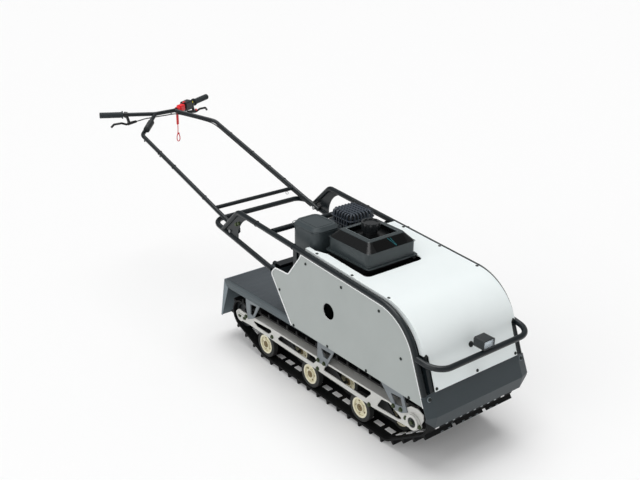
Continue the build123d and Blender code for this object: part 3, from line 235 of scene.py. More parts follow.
finishes = {
    "hoodWhite": {"dark": (236, 243, 243), "light": (243, 249, 249), "rough": (0.28, 0.38), "coat": 0.1,
                  "bump": 0.05},
    # side panels share the hood's pale paint: their grey face is painted shade, and the paler faces that don't face
    # sideways are painted light
    "panelPaintedShade": {"dark": (162, 168, 166), "light": (174, 180, 178), "rough": (0.42, 0.5), "bump": 0.08,
                  "paintedLitEdge": (244, 246, 246)},
    # pale bead tone: painted highlight along the side panels' rims
    "rimHighlightWhite": {"dark": (238, 240, 240), "light": (246, 248, 248), "rough": (0.4, 0.5), "bump": 0.05},
    "lipSlate": {"dark": (112, 122, 127), "light": (128, 138, 143), "rough": (0.4, 0.52), "bump": 0.1},
    # paler tone of the knobs on the lug crests: painted highlight of lit lug tips
    "lugTipHighlight": {"dark": (96, 104, 107), "light": (134, 142, 145), "rough": (0.45, 0.6), "bump": 0.2,
               "patchScale": 40},
    "padSteel": {"dark": (150, 158, 161), "light": (186, 193, 196), "rough": (0.35, 0.5), "bump": 0.15},
    # lighter copy of the deck's slate: painted light on the rear flap's lit side
    "flapSlatePaintedLight": {"dark": (108, 120, 126), "light": (124, 136, 142), "rough": (0.4, 0.52), "bump": 0.12,
                  "wear": 0.35, "bare": (170, 180, 184)},
    "capBlack": {"dark": (28, 31, 33), "light": (40, 43, 45), "rough": (0.18, 0.28), "bump": 0.05},
    # painted highlight along the fuel tank's recess rim
    "rimPaintedHighlight": {"dark": (96, 104, 106), "light": (116, 124, 126), "rough": (0.25, 0.35), "bump": 0.05},
    "foldShade": {"dark": (26, 30, 32), "light": (34, 38, 40), "rough": (0.5, 0.6)},
    "frameSlate": {"dark": (14, 21, 24), "light": (24, 32, 36), "rough": (0.24, 0.34), "bump": 0.05, "specular": 0.4},
    "apronSlate": {"dark": (50, 59, 63), "light": (60, 69, 74), "rough": (0.4, 0.5), "bump": 0.1,
                   "wear": 0.3, "bare": (108, 116, 120)},
    "deckSlate": {"dark": (70, 79, 83), "light": (82, 92, 96), "rough": (0.45, 0.58), "bump": 0.12,
                  "wear": 0.35, "bare": (140, 148, 152)},
    "matRubber": {"dark": (62, 68, 73), "light": (72, 79, 84), "rough": (0.6, 0.72), "bump": 0.5,
                  "bumpDepth": 0.0006, "ribs": ('X', 160, 3.0)},
    "bracketSlate": {"dark": (110, 116, 120), "light": (130, 137, 141), "rough": (0.45, 0.6), "wear": 0.4,
                     "bare": (176, 181, 184)},
    "rockerBlack": {"dark": (26, 27, 28), "light": (42, 43, 44), "rough": (0.5, 0.65), "wear": 0.3,
                    "bare": (90, 90, 88)},
    "plateAluminium": {"dark": (196, 196, 192), "light": (214, 214, 210), "rough": (0.4, 0.52), "metal": 0.15,
                       "bump": 0.1},
    "shaftSteel": {"dark": (130, 132, 134), "light": (172, 173, 174), "rough": (0.3, 0.45), "metal": 0.8},
    "clipSteel": {"dark": (240, 241, 242), "light": (250, 250, 250), "rough": (0.35, 0.5)},
    "trackRubber": {"dark": (7, 8, 9), "light": (13, 14, 15), "specular": 0.25, "rough": (0.55, 0.75), "bump": 0.35,
                    "grainScale": 500},
    "lugRubber": {"dark": (56, 63, 66), "light": (76, 84, 87), "rough": (0.5, 0.7), "bump": 0.35, "grainScale": 500,
                  "wear": 0.3, "bare": (104, 112, 115)},
    "wheelRubber": {"dark": (30, 31, 31), "light": (44, 45, 44), "rough": (0.6, 0.75), "bump": 0.3,
                    "grainScale": 600},
    "wheelCream": {"dark": (216, 210, 182), "light": (238, 233, 208), "rough": (0.4, 0.5), "bump": 0.08},
    "engineBlack": {"dark": (16, 17, 19), "light": (26, 28, 30), "rough": (0.45, 0.6), "bump": 0.3,
                    "grainScale": 400},
    "mouldedBlack": {"dark": (24, 28, 30), "light": (34, 39, 41), "rough": (0.32, 0.44), "bump": 0.25,
                     "grainScale": 700},
    "trayBlack": {"dark": (8, 9, 10), "light": (14, 15, 16), "specular": 0.25, "rough": (0.3, 0.42), "bump": 0.1},
    "cageSlate": {"dark": (44, 51, 60), "light": (60, 68, 78), "rough": (0.3, 0.42), "bump": 0.15},
    "filterSlate": {"dark": (50, 58, 61), "light": (62, 71, 74), "rough": (0.34, 0.46), "bump": 0.25,
                    "grainScale": 700},
    # tank body; its dark band from 0.7655 to 0.7996 m is painted reflection on the upper slopes and painted shade on
    # the recess walls
    "tankBlack": {"dark": (50, 57, 59), "light": (62, 70, 72), "rough": (0.22, 0.32), "bump": 0.08,
                  "wear": 0.25, "bare": (104, 112, 115), "upper": (0.7655, 0.7996, (9, 11, 12)), "specular": 0.4},
    # dark gloss for the tank's tab, and painted reflection of dark surroundings on the tank's front slope
    "glossBlackAndPaintedReflection": {"dark": (7, 8, 8), "light": (12, 13, 13), "rough": (0.14, 0.22), "bump": 0.05, "specular": 0.2},
    "gripRubber": {"dark": (34, 41, 44), "light": (46, 53, 57), "rough": (0.55, 0.7), "bump": 0.3},
    "leverBlack": {"dark": (14, 15, 17), "light": (24, 25, 27), "rough": (0.26, 0.38)},
    "screwBlack": {"dark": (18, 24, 22), "light": (40, 48, 44), "rough": (0.3, 0.42), "metal": 0.3},
    "boltOlive": {"dark": (34, 44, 28), "light": (74, 88, 52), "rough": (0.3, 0.42), "metal": 0.4,
                  "patchScale": 60},
    "hubBronze": {"dark": (104, 90, 60), "light": (150, 134, 98), "rough": (0.35, 0.5), "metal": 0.4},
    "cableBlack": {"dark": (20, 21, 23), "light": (34, 35, 37), "rough": (0.4, 0.55), "bump": 0.2},
    "wireSteel": {"dark": (150, 154, 157), "light": (190, 193, 195), "rough": (0.3, 0.42), "metal": 0.6},
    "lampChrome": {"dark": (206, 216, 224), "light": (240, 246, 250), "rough": (0.08, 0.16), "metal": 0.7},
    "tealMark": {"dark": (24, 104, 112), "light": (40, 128, 136), "rough": (0.25, 0.35)},
    "buttonYellow": {"dark": (222, 214, 20), "light": (240, 232, 44), "rough": (0.3, 0.4)},
    "switchRed": {"dark": (226, 30, 38), "light": (246, 50, 58), "rough": (0.3, 0.4)},
    "cordRed": {"dark": (206, 20, 34), "light": (238, 40, 54), "rough": (0.5, 0.65), "bump": 0.5,
                "bumpDepth": 0.0008, "ribs": ('Z', 330, 2.0)},
    "lensClear": {"dark": (206, 220, 228), "light": (232, 240, 246), "rough": (0.05, 0.1), "alpha": 0.3},
}
materials = {name: finish(name, spec) for name, spec in finishes.items()}
print("materials ready")

finishNodes = {
    "trackRubber": ["track"], "wheelRubber": ["wheel_tyres"], "wheelCream": ["wheel_discs"],
    "rockerBlack": ["rocker_arms"], "shaftSteel": ["cross_shafts", "pivot_bolts"], "clipSteel": ["track_clips"],
    "plateAluminium": ["slide_plates", "bearing_housings"], "bracketSlate": ["plate_brackets"],
    "deckSlate": ["tunnel", "rear_bulkhead"], "flapSlatePaintedLight": ["rear_flap"], "apronSlate": ["apron"],
    "matRubber": ["deck_mat"], "panelPaintedShade": ["side_panels"], "hoodWhite": ["hood"],
    "frameSlate": ["panel_holders", "frame_rails", "rear_loop", "rear_cross_members", "frame_gussets",
                   "frame_pillars", "bumper", "handlebar_bar", "handlebar_arms"],
    "mouldedBlack": ["drive_sprockets", "idler_wheels", "headlight", "muffler_guard", "latch_knob",
                     "bar_controls"],
    "engineBlack": ["engine_block", "muffler"], "tankBlack": ["fuel_tank"], "capBlack": ["fuel_cap"],
    "filterSlate": ["air_filter"], "trayBlack": ["hood_surround"], "lensClear": ["headlight_lens"],
    "gripRubber": ["grips"], "leverBlack": ["brake_levers"], "switchRed": ["stop_switch", "lanyard_tag"],
    "cordRed": ["stop_lanyard"],
}
for finishName, nodeNames in finishNodes.items():
    for nodeName in nodeNames:
        dressed = nodes[nodeName]
        if not dressed.material_slots:
            dressed.data.materials.append(materials[finishName])
        for slot in dressed.material_slots:
            slot.material = materials[finishName]
bpy.ops.object.select_all(action='DESELECT')
print("nodes dressed")

# Helpers for the added pieces; sizes on the drawing are in millimetres
drawingShift = 11.4
rightWay, leftWay = Vector((0, -1, 0)), Vector((0, 1, 0))
upWay, frontWay = Vector((0, 0, 1)), Vector((1, 0, 0))


def place(x, y, z):
    return Vector((x + drawingShift, y, z)) / 1000


def only(piece):
    bpy.ops.object.select_all(action='DESELECT')
    piece.select_set(True)
    bpy.context.view_layer.objects.active = piece


def settle(piece, name, finishName, body="chassis", smoothAngle=35):
    piece.name = name
    piece.data.name = name
    piece.data.materials.clear()
    piece.data.materials.append(materials[finishName])
    only(piece)
    bpy.ops.object.transform_apply(location=True, rotation=True, scale=True)
    if piece.type == 'MESH' and smoothAngle:
        bpy.ops.object.shade_smooth_by_angle(angle=math.radians(smoothAngle))
    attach(piece, body)
    return piece


def turned(sides, rings):  # a round or many-sided shape from (radius, height) rings
    bpy.ops.object.select_all(action='DESELECT')
    radius, height = rings[0]
    bpy.ops.mesh.primitive_circle_add(vertices=sides, radius=radius / 1000, fill_type='NGON')
    piece = bpy.context.object
    bpy.ops.object.mode_set(mode='EDIT')
    bpy.ops.mesh.select_all(action='SELECT')
    bpy.ops.transform.translate(value=(0, 0, height / 1000))
    for nextRadius, nextHeight in rings[1:]:
        bpy.ops.mesh.extrude_region_move(TRANSFORM_OT_translate={"value": (0, 0, (nextHeight - height) / 1000)})
        grow = nextRadius / radius
        bpy.ops.transform.resize(value=(grow, grow, 1), center_override=(0, 0, nextHeight / 1000))
        radius, height = nextRadius, nextHeight
    bpy.ops.mesh.select_all(action='SELECT')
    bpy.ops.mesh.normals_make_consistent(inside=False)
    bpy.ops.object.mode_set(mode='OBJECT')
    return piece


def block(size, bevel, segments=2, inset=None):  # a bevelled block, with an inset panel on top where given
    bpy.ops.object.select_all(action='DESELECT')
    bpy.ops.mesh.primitive_cube_add(size=0.001, scale=size)
    piece = bpy.context.object
    bpy.ops.object.transform_apply(location=True, rotation=True, scale=True)
    bpy.ops.object.mode_set(mode='EDIT')
    if inset:
        bpy.ops.mesh.select_all(action='DESELECT')
        bpy.ops.object.mode_set(mode='OBJECT')
        for face in piece.data.polygons:
            face.select = face.normal.z > 0.9
        bpy.ops.object.mode_set(mode='EDIT')
        bpy.ops.mesh.inset(thickness=inset[0] / 1000, depth=-inset[1] / 1000)
    bpy.ops.mesh.select_all(action='SELECT')
    bpy.ops.mesh.bevel(offset=bevel / 1000, segments=segments, affect='EDGES')
    bpy.ops.object.mode_set(mode='OBJECT')
    return piece


def joined(parts):
    bpy.ops.object.select_all(action='DESELECT')
    for part in parts:
        part.select_set(True)
    bpy.context.view_layer.objects.active = parts[0]
    if len(parts) > 1:
        bpy.ops.object.join()
    return parts[0]


def copied(source, frames):  # copies of a piece at each matrix, joined
    copies = []
    for matrix in frames:
        copy = source.copy()
        copy.data = source.data.copy()
        scene.collection.objects.link(copy)
        copy.matrix_world = matrix
        copies.append(copy)
    bpy.data.objects.remove(source)
    return joined(copies)


def spread(source, spots):  # copies of a piece at each (place, direction, turn), joined
    frames = []
    for spotAt, way, twist in spots:
        facing = Vector(way).to_track_quat('Z', 'Y').to_matrix().to_4x4()
        frames.append(Matrix.Translation(spotAt) @ facing @ Matrix.Rotation(twist, 4, 'Z'))
    return copied(source, frames)


def bothSides(x, y, z, twist):  # a spot on the right and its twin on the left, facing outward
    return [(place(x, -y, z), rightWay, twist), (place(x, y, z), leftWay, twist)]


def tube(name, points, radius, order=3, cyclic=False, smooth=12, rounded=3):  # a round wire along a smooth line
    line = bpy.data.curves.new(name, 'CURVE')
    line.dimensions = '3D'
    line.resolution_u = smooth
    line.bevel_depth = radius / 1000
    line.bevel_resolution = rounded
    line.use_fill_caps = True
    spline = line.splines.new('NURBS')
    spline.points.add(len(points) - 1)
    for point, where in zip(spline.points, points):
        point.co = (*where, 1)
    spline.order_u = order
    spline.use_cyclic_u = cyclic
    spline.use_endpoint_u = not cyclic
    piece = bpy.data.objects.new(name, line)
    scene.collection.objects.link(piece)
    return piece


def wire(*line):  # a tube as a mesh
    piece = tube("wire", *line)
    only(piece)
    bpy.ops.object.convert(target='MESH')
    return bpy.context.object


def roundLoop(middleX, middleY, reachX, reachY, corner, height):  # a level oblong with cut corners
    points = []
    for signX, signY in ((1, 1), (-1, 1), (-1, -1), (1, -1)):
        ends = [(reachX, reachY - corner), (reachX, reachY), (reachX - corner, reachY)]
        if signX * signY < 0:
            ends.reverse()
        points += [place(middleX + signX * px, middleY + signY * py, height) for px, py in ends]
    return points


def loopWire(middle, reach, corner, height, radius, smooth=5):
    return wire(roundLoop(*middle, *reach, corner, height), radius, 3, True, smooth, 2)


def hoop(at, tilt, reach, radius, sides=24, wireSides=6, stretch=1.0):  # a wire ring, stretched along its axis
    bpy.ops.object.select_all(action='DESELECT')
    bpy.ops.mesh.primitive_torus_add(location=at, rotation=tilt, major_radius=reach / 1000,
                                     minor_radius=radius / 1000, major_segments=sides, minor_segments=wireSides)
    bpy.context.object.scale.z = stretch
    return bpy.context.object


def tiesAlong(start, end, spots, reach, radius, stretch):  # ties round a tube, at (x, side) along it
    start, end = Vector(start), Vector(end)
    ties = []
    for x, side in spots:
        at = start.lerp(end, (x - start.x) / (end.x - start.x))
        way = Vector((end.x - start.x, side * (end.y - start.y), end.z - start.z))
        tilt = way.to_track_quat('Z', 'Y').to_euler()
        ties.append(hoop(place(at.x, side * at.y, at.z), tilt, reach, radius, stretch=stretch))
    return joined(ties)


# Red lanyard below the stop switch
lanyardSpec = {
    "exit": (-1.18566, 0.08288, 0.81755),
    "steps": [(0, 0), (0, -46), (-9, -66), (-10, -86), (-5, -98), (5, -98), (10, -86), (9, -68), (3.4, -55)],
    "length": 0.152, "diameter": 0.005,
    "knotAt": (1.7, -53.5), "knotStep": 2.6, "knotRing": (4.2, 1.7, 20, 8), "knotLean": (0.12, 0.1),
}
exitAt = Vector(lanyardSpec["exit"])
lanyard = tube("lanyardCord", [exitAt + Vector((0, y, z)) / 1000 for y, z in lanyardSpec["steps"]], 2.5)
lanyard.data.materials.append(materials["cordRed"])
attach(lanyard, "handlebar")
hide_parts("stop_lanyard")
wraps = []
knotY, knotZ = lanyardSpec["knotAt"]
leanX, leanY = lanyardSpec["knotLean"]
for turnAt in (-1, 0, 1):
    at = exitAt + Vector((0, knotY, knotZ + turnAt * lanyardSpec["knotStep"])) / 1000
    wraps.append(hoop(at, (leanX * turnAt, leanY, 0), *lanyardSpec["knotRing"]))
knot = settle(joined(wraps), "lanyardKnot", "cordRed", "handlebar", 60)

# Control cable from the right lever, under the bar and along the left arm
cableSpec = {
    "points": [(-1223, -163, 872), (-1223, -142, 873), (-1216, -112, 880), (-1200, -80, 884), (-1184, -40, 889),
               (-1179, 0, 889), (-1178, 40, 890), (-1168, 74, 888), (-1121, 124, 873), (-1067, 184, 853.5),
               (-1022, 220, 838), (-900, 221.6, 805), (-600, 225.3, 725.8), (-300, 229, 646.2),
               (-190, 230.4, 617), (-150, 231, 606.4)],
    "diameter": 6.0, "length": 1.358,
}
cablePoints = [place(*point) for point in cableSpec["points"]]
cable = tube("controlCable", cablePoints, cableSpec["diameter"] / 2)
cable.data.materials.append(materials["cableBlack"])
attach(cable, "handlebar")
print("cords made")

# Screws in the hood and panels
screwSpec = {
    "rings": [(6.8, 0), (6.8, 0.8), (6.3, 1.9), (5.2, 2.8), (3.4, 3.3), (3.0, 3.3), (2.8, 1.6)],
    "panel": [(287, 458), (479, 653), (720, 635), (955, 623), (1091, 470), (392, 321), (634, 321), (889, 321),
              (1146, 321)],
    "panelY": 280, "panelTwist": 0.3, "hoodTwist": 0.2,
    "hoodTop": [518, 751, 975], "hoodTopY": 248.5, "hoodSlope": -0.0612, "hoodRear": (447, 710.7),
    "hoodFront": [(1194, 247, 516), (1194, -247, 516), (1240, 225, 387), (1240, 0, 387), (1240, -225, 387)],
    "hoodTilt": (0.942, 0, 0.336),
}
spots = []
for x, z in screwSpec["panel"]:
    spots += bothSides(x, screwSpec["panelY"], z, screwSpec["panelTwist"])
rearX, rearZ = screwSpec["hoodRear"]
slope, twist = screwSpec["hoodSlope"], screwSpec["hoodTwist"]
for x in screwSpec["hoodTop"]:
    for side in (-1, 1):
        spots.append((place(x, side * screwSpec["hoodTopY"], rearZ + slope * (x - rearX)), (-slope, 0, 1), twist))
spots += [(place(*point), screwSpec["hoodTilt"], twist) for point in screwSpec["hoodFront"]]
settle(spread(turned(18, screwSpec["rings"]), spots), "bodyScrews", "screwBlack")

# Hexagon bolts with washers
boltSpec = {
    "washer": [(10.5, 0), (10.5, 1.6), (9.8, 2.0)],
    "head": [(8.2, 1.5), (8.2, 6.2), (7.2, 7.6), (3.0, 7.8)],
    "plate": [(-82, 168, 256), (-42, 168, 256), (-19, 189, 262), (188, 164, 256), (548, 208, 262), (590, 208, 262),
              (537, 157, 256), (888, 149, 256), (1041, 224, 262), (1085, 228, 262), (1116, 205, 262),
              (1196, 204, 262)],
    "gusset": [(-63, 659, 274), (-41, 671, 274)],
}
spots = []
for x, z, y in boltSpec["plate"] + boltSpec["gusset"]:
    spots += bothSides(x, y, z, x)
bolt = joined([turned(24, boltSpec["washer"]), turned(6, boltSpec["head"])])
settle(spread(bolt, spots), "hexBolts", "boltOlive", smoothAngle=25)
print("fasteners made")

# Lugs with softened edges over the belt's own, and the clips' outer faces between them
trackSpec = {
    "circles": [(-82.0, 168.0, 64.7), (120.0, 91.5, 65.7), (970.0, 91.5, 65.7), (1159.0, 209.0, 58.7)],
    "play": 0.3, "thick": 8.0, "count": 41, "firstX": 526.0,
    "lugHigh": 17.5, "lugRoot": 15.4, "lugCrest": 9.4, "crestInset": 2.2, "crestSink": 1.2, "softEdge": 0.9,
    "barLength": 149.6, "barMiddles": (-175.5, 0.0, 175.5),
    "clipYs": (-190.0, 190.0), "clipSize": (26, 20, 3), "clipBevel": 1.0, "clipInset": (5, 0.8),
}


def beltStations(depth, count, firstX):  # even places round the belt, as (x, z, outward angle)
    circles = trackSpec["circles"]
    ahead = circles[1:] + circles[:1]
    normals = []
    for (x, z, radius), (nextX, nextZ, nextRadius) in zip(circles, ahead):
        gap = math.hypot(nextX - x, nextZ - z)
        normals.append(math.atan2(nextZ - z, nextX - x) - math.acos((radius - nextRadius) / gap))
    runs = []
    for i, (x, z, radius) in enumerate(circles):
        reach = radius + trackSpec["play"] + depth
        bend = (normals[i] - normals[i - 1]) % (2 * math.pi)
        nextX, nextZ, nextRadius = ahead[i]
        straight = math.sqrt(math.hypot(nextX - x, nextZ - z) ** 2 - (radius - nextRadius) ** 2)
        runs.append((reach * bend, x, z, reach, normals[i - 1], 1 / reach))
        runs.append((straight, x, z, reach, normals[i], 0))
    total = sum(run[0] for run in runs)
    start = sum(run[0] for run in runs[:3]) + firstX - circles[1][0]
    stations = []
    for k in range(count):
        rest = (start + k * total / count) % total
        for length, x, z, reach, angle, curl in runs:
            if rest <= length:
                break
            rest -= length
        angle += rest * curl
        slide = 0 if curl else rest
        stations.append((x + reach * math.cos(angle) - slide * math.sin(angle),
                         z + reach * math.sin(angle) + slide * math.cos(angle), angle))
    return stations


def beltFrames(stations, acrossAt, lift=0):  # local Z outward, local X along the belt, local Y across it
    frames = []
    for x, z, angle in stations:
        outward = Vector((math.cos(angle), 0, math.sin(angle)))
        facing = Matrix((leftWay.cross(outward), leftWay, outward)).transposed().to_4x4()
        frames += [Matrix.Translation(place(x, y, z) + outward * lift / 1000) @ facing for y in acrossAt]
    return frames


bpy.ops.object.select_all(action='DESELECT')
bpy.ops.mesh.primitive_cube_add(
    size=0.001, scale=(trackSpec["lugRoot"], trackSpec["barLength"], trackSpec["lugHigh"]))
lug = bpy.context.object
bpy.ops.object.transform_apply(location=True, rotation=True, scale=True)
for face in lug.data.polygons:
    face.select = face.normal.z > 0.9
bpy.ops.object.mode_set(mode='EDIT')
bpy.ops.transform.resize(value=(trackSpec["lugCrest"] / trackSpec["lugRoot"], 1, 1), center_override=(0, 0, 0))
bpy.ops.mesh.inset(thickness=trackSpec["crestInset"] / 1000, depth=-trackSpec["crestSink"] / 1000)
bpy.ops.mesh.select_all(action='SELECT')
bpy.ops.transform.translate(value=(0, 0, trackSpec["lugHigh"] / 2000))
bpy.ops.mesh.bevel(offset=trackSpec["softEdge"] / 1000, segments=1, affect='EDGES')
bpy.ops.object.mode_set(mode='OBJECT')
stations = beltStations(trackSpec["thick"], trackSpec["count"], trackSpec["firstX"])
settle(copied(lug, beltFrames(stations, trackSpec["barMiddles"])), "beltLugs", "lugRubber", smoothAngle=0)

between = beltStations(trackSpec["thick"], 2 * trackSpec["count"], trackSpec["firstX"])[1::2]
clipFace = block(trackSpec["clipSize"], trackSpec["clipBevel"], 2, trackSpec["clipInset"])
settle(copied(clipFace, beltFrames(between, trackSpec["clipYs"])), "clipFaces", "clipSteel", smoothAngle=30)
print("track dressed")

# Wheel hubs: bolts on a ring and a capped nut
hubSpec = {
    "bolt": [(4.6, 0), (4.6, 2.6), (3.6, 3.6), (1.5, 3.8)], "boltRing": 30.0, "boltCount": 5,
    "cap": [(17, 0), (17, 1.0), (14.5, 2.4), (12, 2.6), (11.5, 1.4), (8.6, 1.4), (8.2, 4.4), (5.0, 4.8)],
    "outerXs": (120.0, 467.5, 815.0), "innerAhead": 155.0, "z": 91.5, "outerY": 245.0, "innerY": 150.0,
    "webIn": 8.5,
}
capSpots, boltSpots = [], []
for x in hubSpec["outerXs"]:
    for wheelX, faceY in ((x, hubSpec["outerY"]), (x + hubSpec["innerAhead"], hubSpec["innerY"])):
        capSpots += bothSides(wheelX, faceY, hubSpec["z"], x)
        for k in range(hubSpec["boltCount"]):
            angle = 2 * math.pi * k / hubSpec["boltCount"] + x
            boltSpots += bothSides(wheelX + hubSpec["boltRing"] * math.cos(angle), faceY - hubSpec["webIn"],
                                   hubSpec["z"] + hubSpec["boltRing"] * math.sin(angle), angle)
settle(spread(turned(28, hubSpec["cap"]), capSpots), "hubCaps", "hubBronze")
settle(spread(turned(6, hubSpec["bolt"]), boltSpots), "hubBolts", "hubBronze", smoothAngle=25)

# Drive bearing: dark seal and shaft nut; and the idler's adjuster at the rear
bearingSpec = {
    "seal": [(21.5, 0), (21.5, 2.6), (19, 3.2), (17, 2.2), (14, 2.2), (13.4, 4.6), (9, 5.0)],
    "nut": [(9.5, 4.6), (9.5, 9.5), (8.2, 11), (3, 11.2)],
    "at": (1159, 267, 209), "twist": 0.4, "eye": (-99, 258, 176), "eyeRing": (8.5, 3.6, 24, 10),
    "rod": [(-92, 258.5, 176), (-60, 258.5, 177), (-26, 258.5, 178)], "rodRadius": 3.0,
}
sides = bothSides(*bearingSpec["at"], bearingSpec["twist"])
settle(spread(turned(32, bearingSpec["seal"]), sides), "bearingSeals", "screwBlack")
settle(spread(turned(6, bearingSpec["nut"]), sides), "bearingNuts", "boltOlive", smoothAngle=25)
adjusters = []
for side in (-1, 1):
    x, y, z = bearingSpec["eye"]
    adjusters.append(hoop(place(x, side * y, z), (math.radians(90), 0, 0), *bearingSpec["eyeRing"]))
    adjusters.append(wire([place(px, side * py, pz) for px, py, pz in bearingSpec["rod"]], bearingSpec["rodRadius"]))
settle(joined(adjusters), "idlerAdjusters", "plateAluminium", smoothAngle=50)
print("running gear dressed")

# Grommet and cable of the lamp, and its reflectors
lampSpec = {
    "grommet": [(12.5, 0), (12.5, 1.8), (10.8, 3.0), (8.6, 3.0), (8.0, 1.0), (6.5, 0.6)],
    "grommetAt": (1201.6, -8, 492), "tilt": (0.942, 0, 0.336),
    "cable": [(1203, -8, 493), (1212, -8, 495), (1224, -5, 503), (1236, -2, 512)], "cableRadius": 2.6,
    "dish": [(17.5, 0), (17.5, 0.4), (14.0, 0.5), (10.0, 0.9), (6.0, 1.6), (5.0, 1.7), (4.4, 2.8), (2.0, 3.2)],
    "dishAt": ((1280.2, -13, 526.5), (1280.2, 13, 526.5)),
}
settle(spread(turned(28, lampSpec["grommet"]), [(place(*lampSpec["grommetAt"]), lampSpec["tilt"], 0)]),
       "lampGrommet", "screwBlack")
settle(wire([place(*point) for point in lampSpec["cable"]], lampSpec["cableRadius"]), "lampCable", "cableBlack",
       smoothAngle=60)
settle(spread(turned(28, lampSpec["dish"]), [(place(*point), frontWay, 0) for point in lampSpec["dishAt"]]),
       "lampReflectors", "lampChrome")
print("lamp dressed")

# Handlebar: ribbed grips, clamps and ties, then the buttons, small tabs and a ring
barSpec = {
    "tip": (-1300, 343, 918), "inner": (-1188, 60, 905),
    "grip": [(13.0, 0.3), (15.2, 1.2), (16.3, 3.2), (16.3, 7.0)],
    "gripRibs": 22, "gripFrom": 9.0, "gripStep": 4.9, "rib": [(15.4, 0), (15.4, 1.2), (16.3, 1.9), (16.3, 4.2)],
    "gripEnd": [(16.3, 118.5), (17.4, 119.4), (21.3, 120.6), (21.4, 125.6), (20.4, 126.4), (14.0, 126.8)],
    "clamp": [(13.2, 131), (14.4, 132), (14.6, 144), (13.4, 145)],
    "clampBolt": [(3.6, 0), (3.6, 2.4), (2.8, 3.2), (1.0, 3.3)], "boltDistance": 138, "boltLift": 14.3,
    "tie": (12.2, 1.3, 1.9), "armFoot": (-118, 241, 607.5), "armBend": (-1033, 229.5, 850),
    "ties": [(-701, -1), (-404, -1), (-845, -1), (-672, 1), (-388, 1), (-880, 1), (-520, 1)],
}


def barWay(side):
    way = (Vector(barSpec["inner"]) - Vector(barSpec["tip"])).normalized()
    return Vector((way.x, side * way.y, way.z))


def barPoint(side, distance):  # millimetres from the bar's tip
    x, y, z = barSpec["tip"]
    return place(x, side * y, z) + barWay(side) * distance / 1000


gripRings = list(barSpec["grip"])
for k in range(barSpec["gripRibs"]):
    at = barSpec["gripFrom"] + k * barSpec["gripStep"]
    gripRings += [(radius, at + ahead) for radius, ahead in barSpec["rib"]]
gripRings += barSpec["gripEnd"]
gripSpots = [(barPoint(side, 0), barWay(side), 0) for side in (-1, 1)]
grips = settle(spread(turned(32, gripRings), gripSpots), "ribbedGrips", "gripRubber", "handlebar", 40)
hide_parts("grips")
settle(spread(turned(28, barSpec["clamp"]), gripSpots), "leverClamps", "leverBlack", "handlebar")
boltSpots = []
for side in (-1, 1):
    for away in (upWay, -upWay):
        boltSpots.append((barPoint(side, barSpec["boltDistance"]) + away * barSpec["boltLift"] / 1000, away, 0.3))
settle(spread(turned(6, barSpec["clampBolt"]), boltSpots), "clampBolts", "screwBlack", "handlebar", 25)
settle(tiesAlong(barSpec["armFoot"], barSpec["armBend"], barSpec["ties"], *barSpec["tie"]), "armTies", "cableBlack",
       "handlebar", 60)

controlSpec = {
    "toggle": {"size": (13, 16, 6), "bevel": 1.6, "distance": 214, "lift": 24.0},
    "button": {"rings": [(7, -6), (7, 4.2), (5.8, 5.6), (2.6, 6)], "distance": 150, "ahead": 10, "lift": 9,
               "way": (1, -0.6, 0.7)},
    "accent": {"size": (9, 14, 5), "bevel": 1.2, "at": (-1222, 222, 876), "way": (1, 0, 0.6), "twist": 0.4},
}
toggle = controlSpec["toggle"]
settle(spread(block(toggle["size"], toggle["bevel"], 2, (2, 0.8)),
              [(barPoint(1, toggle["distance"]) + Vector((0, 0, toggle["lift"] / 1000)), upWay, 0.3)]),
       "engineToggle", "switchRed", "handlebar")
button = controlSpec["button"]
buttonAt = barPoint(1, button["distance"]) + Vector((button["ahead"], 0, button["lift"])) / 1000
settle(spread(turned(20, button["rings"]), [(buttonAt, button["way"], 0)]), "startButton", "buttonYellow",
       "handlebar")
accent = controlSpec["accent"]
settle(spread(block(accent["size"], accent["bevel"]), [(place(*accent["at"]), accent["way"], accent["twist"])]),
       "leverAccent", "switchRed", "handlebar")
tabSpec = {"size": (9, 4, 20), "bevel": 1.2, "at": [(-845, -232, 786), (-1010, -230, 829), (-1190, 40, 893)],
           "ringAt": (-306, 198, 640), "ringTilt": (math.radians(90), 0, 0.5), "ring": (7.5, 1.3, 24, 8)}
settle(spread(block(tabSpec["size"], tabSpec["bevel"]), [(place(*at), upWay, 0) for at in tabSpec["at"]]), "armTabs",
       "cableBlack", "handlebar")
settle(hoop(place(*tabSpec["ringAt"]), tabSpec["ringTilt"], *tabSpec["ring"]), "armRing", "wireSteel",
       "handlebar", 60)
print("handlebar dressed")

# Cable ties on the frame's rails
railSpec = {"from": (-47, 272, 725), "to": (1105, 272, 654.5), "ties": [(103, -1), (382, -1), (240, 1), (520, 1)],
            "tie": (13.7, 1.4, 2.0)}
settle(tiesAlong(railSpec["from"], railSpec["to"], railSpec["ties"], *railSpec["tie"]), "railTies", "cableBlack",
       "chassis", 60)

# Apron's wing bolts with washers, whose pale tone is partly their own and partly painted highlight on their rings
wingSpec = {"washer": [(11, 0), (11, 1.4), (10, 1.9)], "head": [(8, 1.4), (8, 5.6), (6.8, 7), (2, 7.2)],
            "at": [(1239, -262, 351), (1239, 262, 351)], "way": (1, 0, 0.4)}
wingSpots = [(place(*at), wingSpec["way"], 0.3) for at in wingSpec["at"]]
settle(spread(turned(24, wingSpec["washer"]), wingSpots), "apronWashers", "lipSlate")
settle(spread(turned(6, wingSpec["head"]), wingSpots), "apronBolts", "screwBlack", smoothAngle=25)

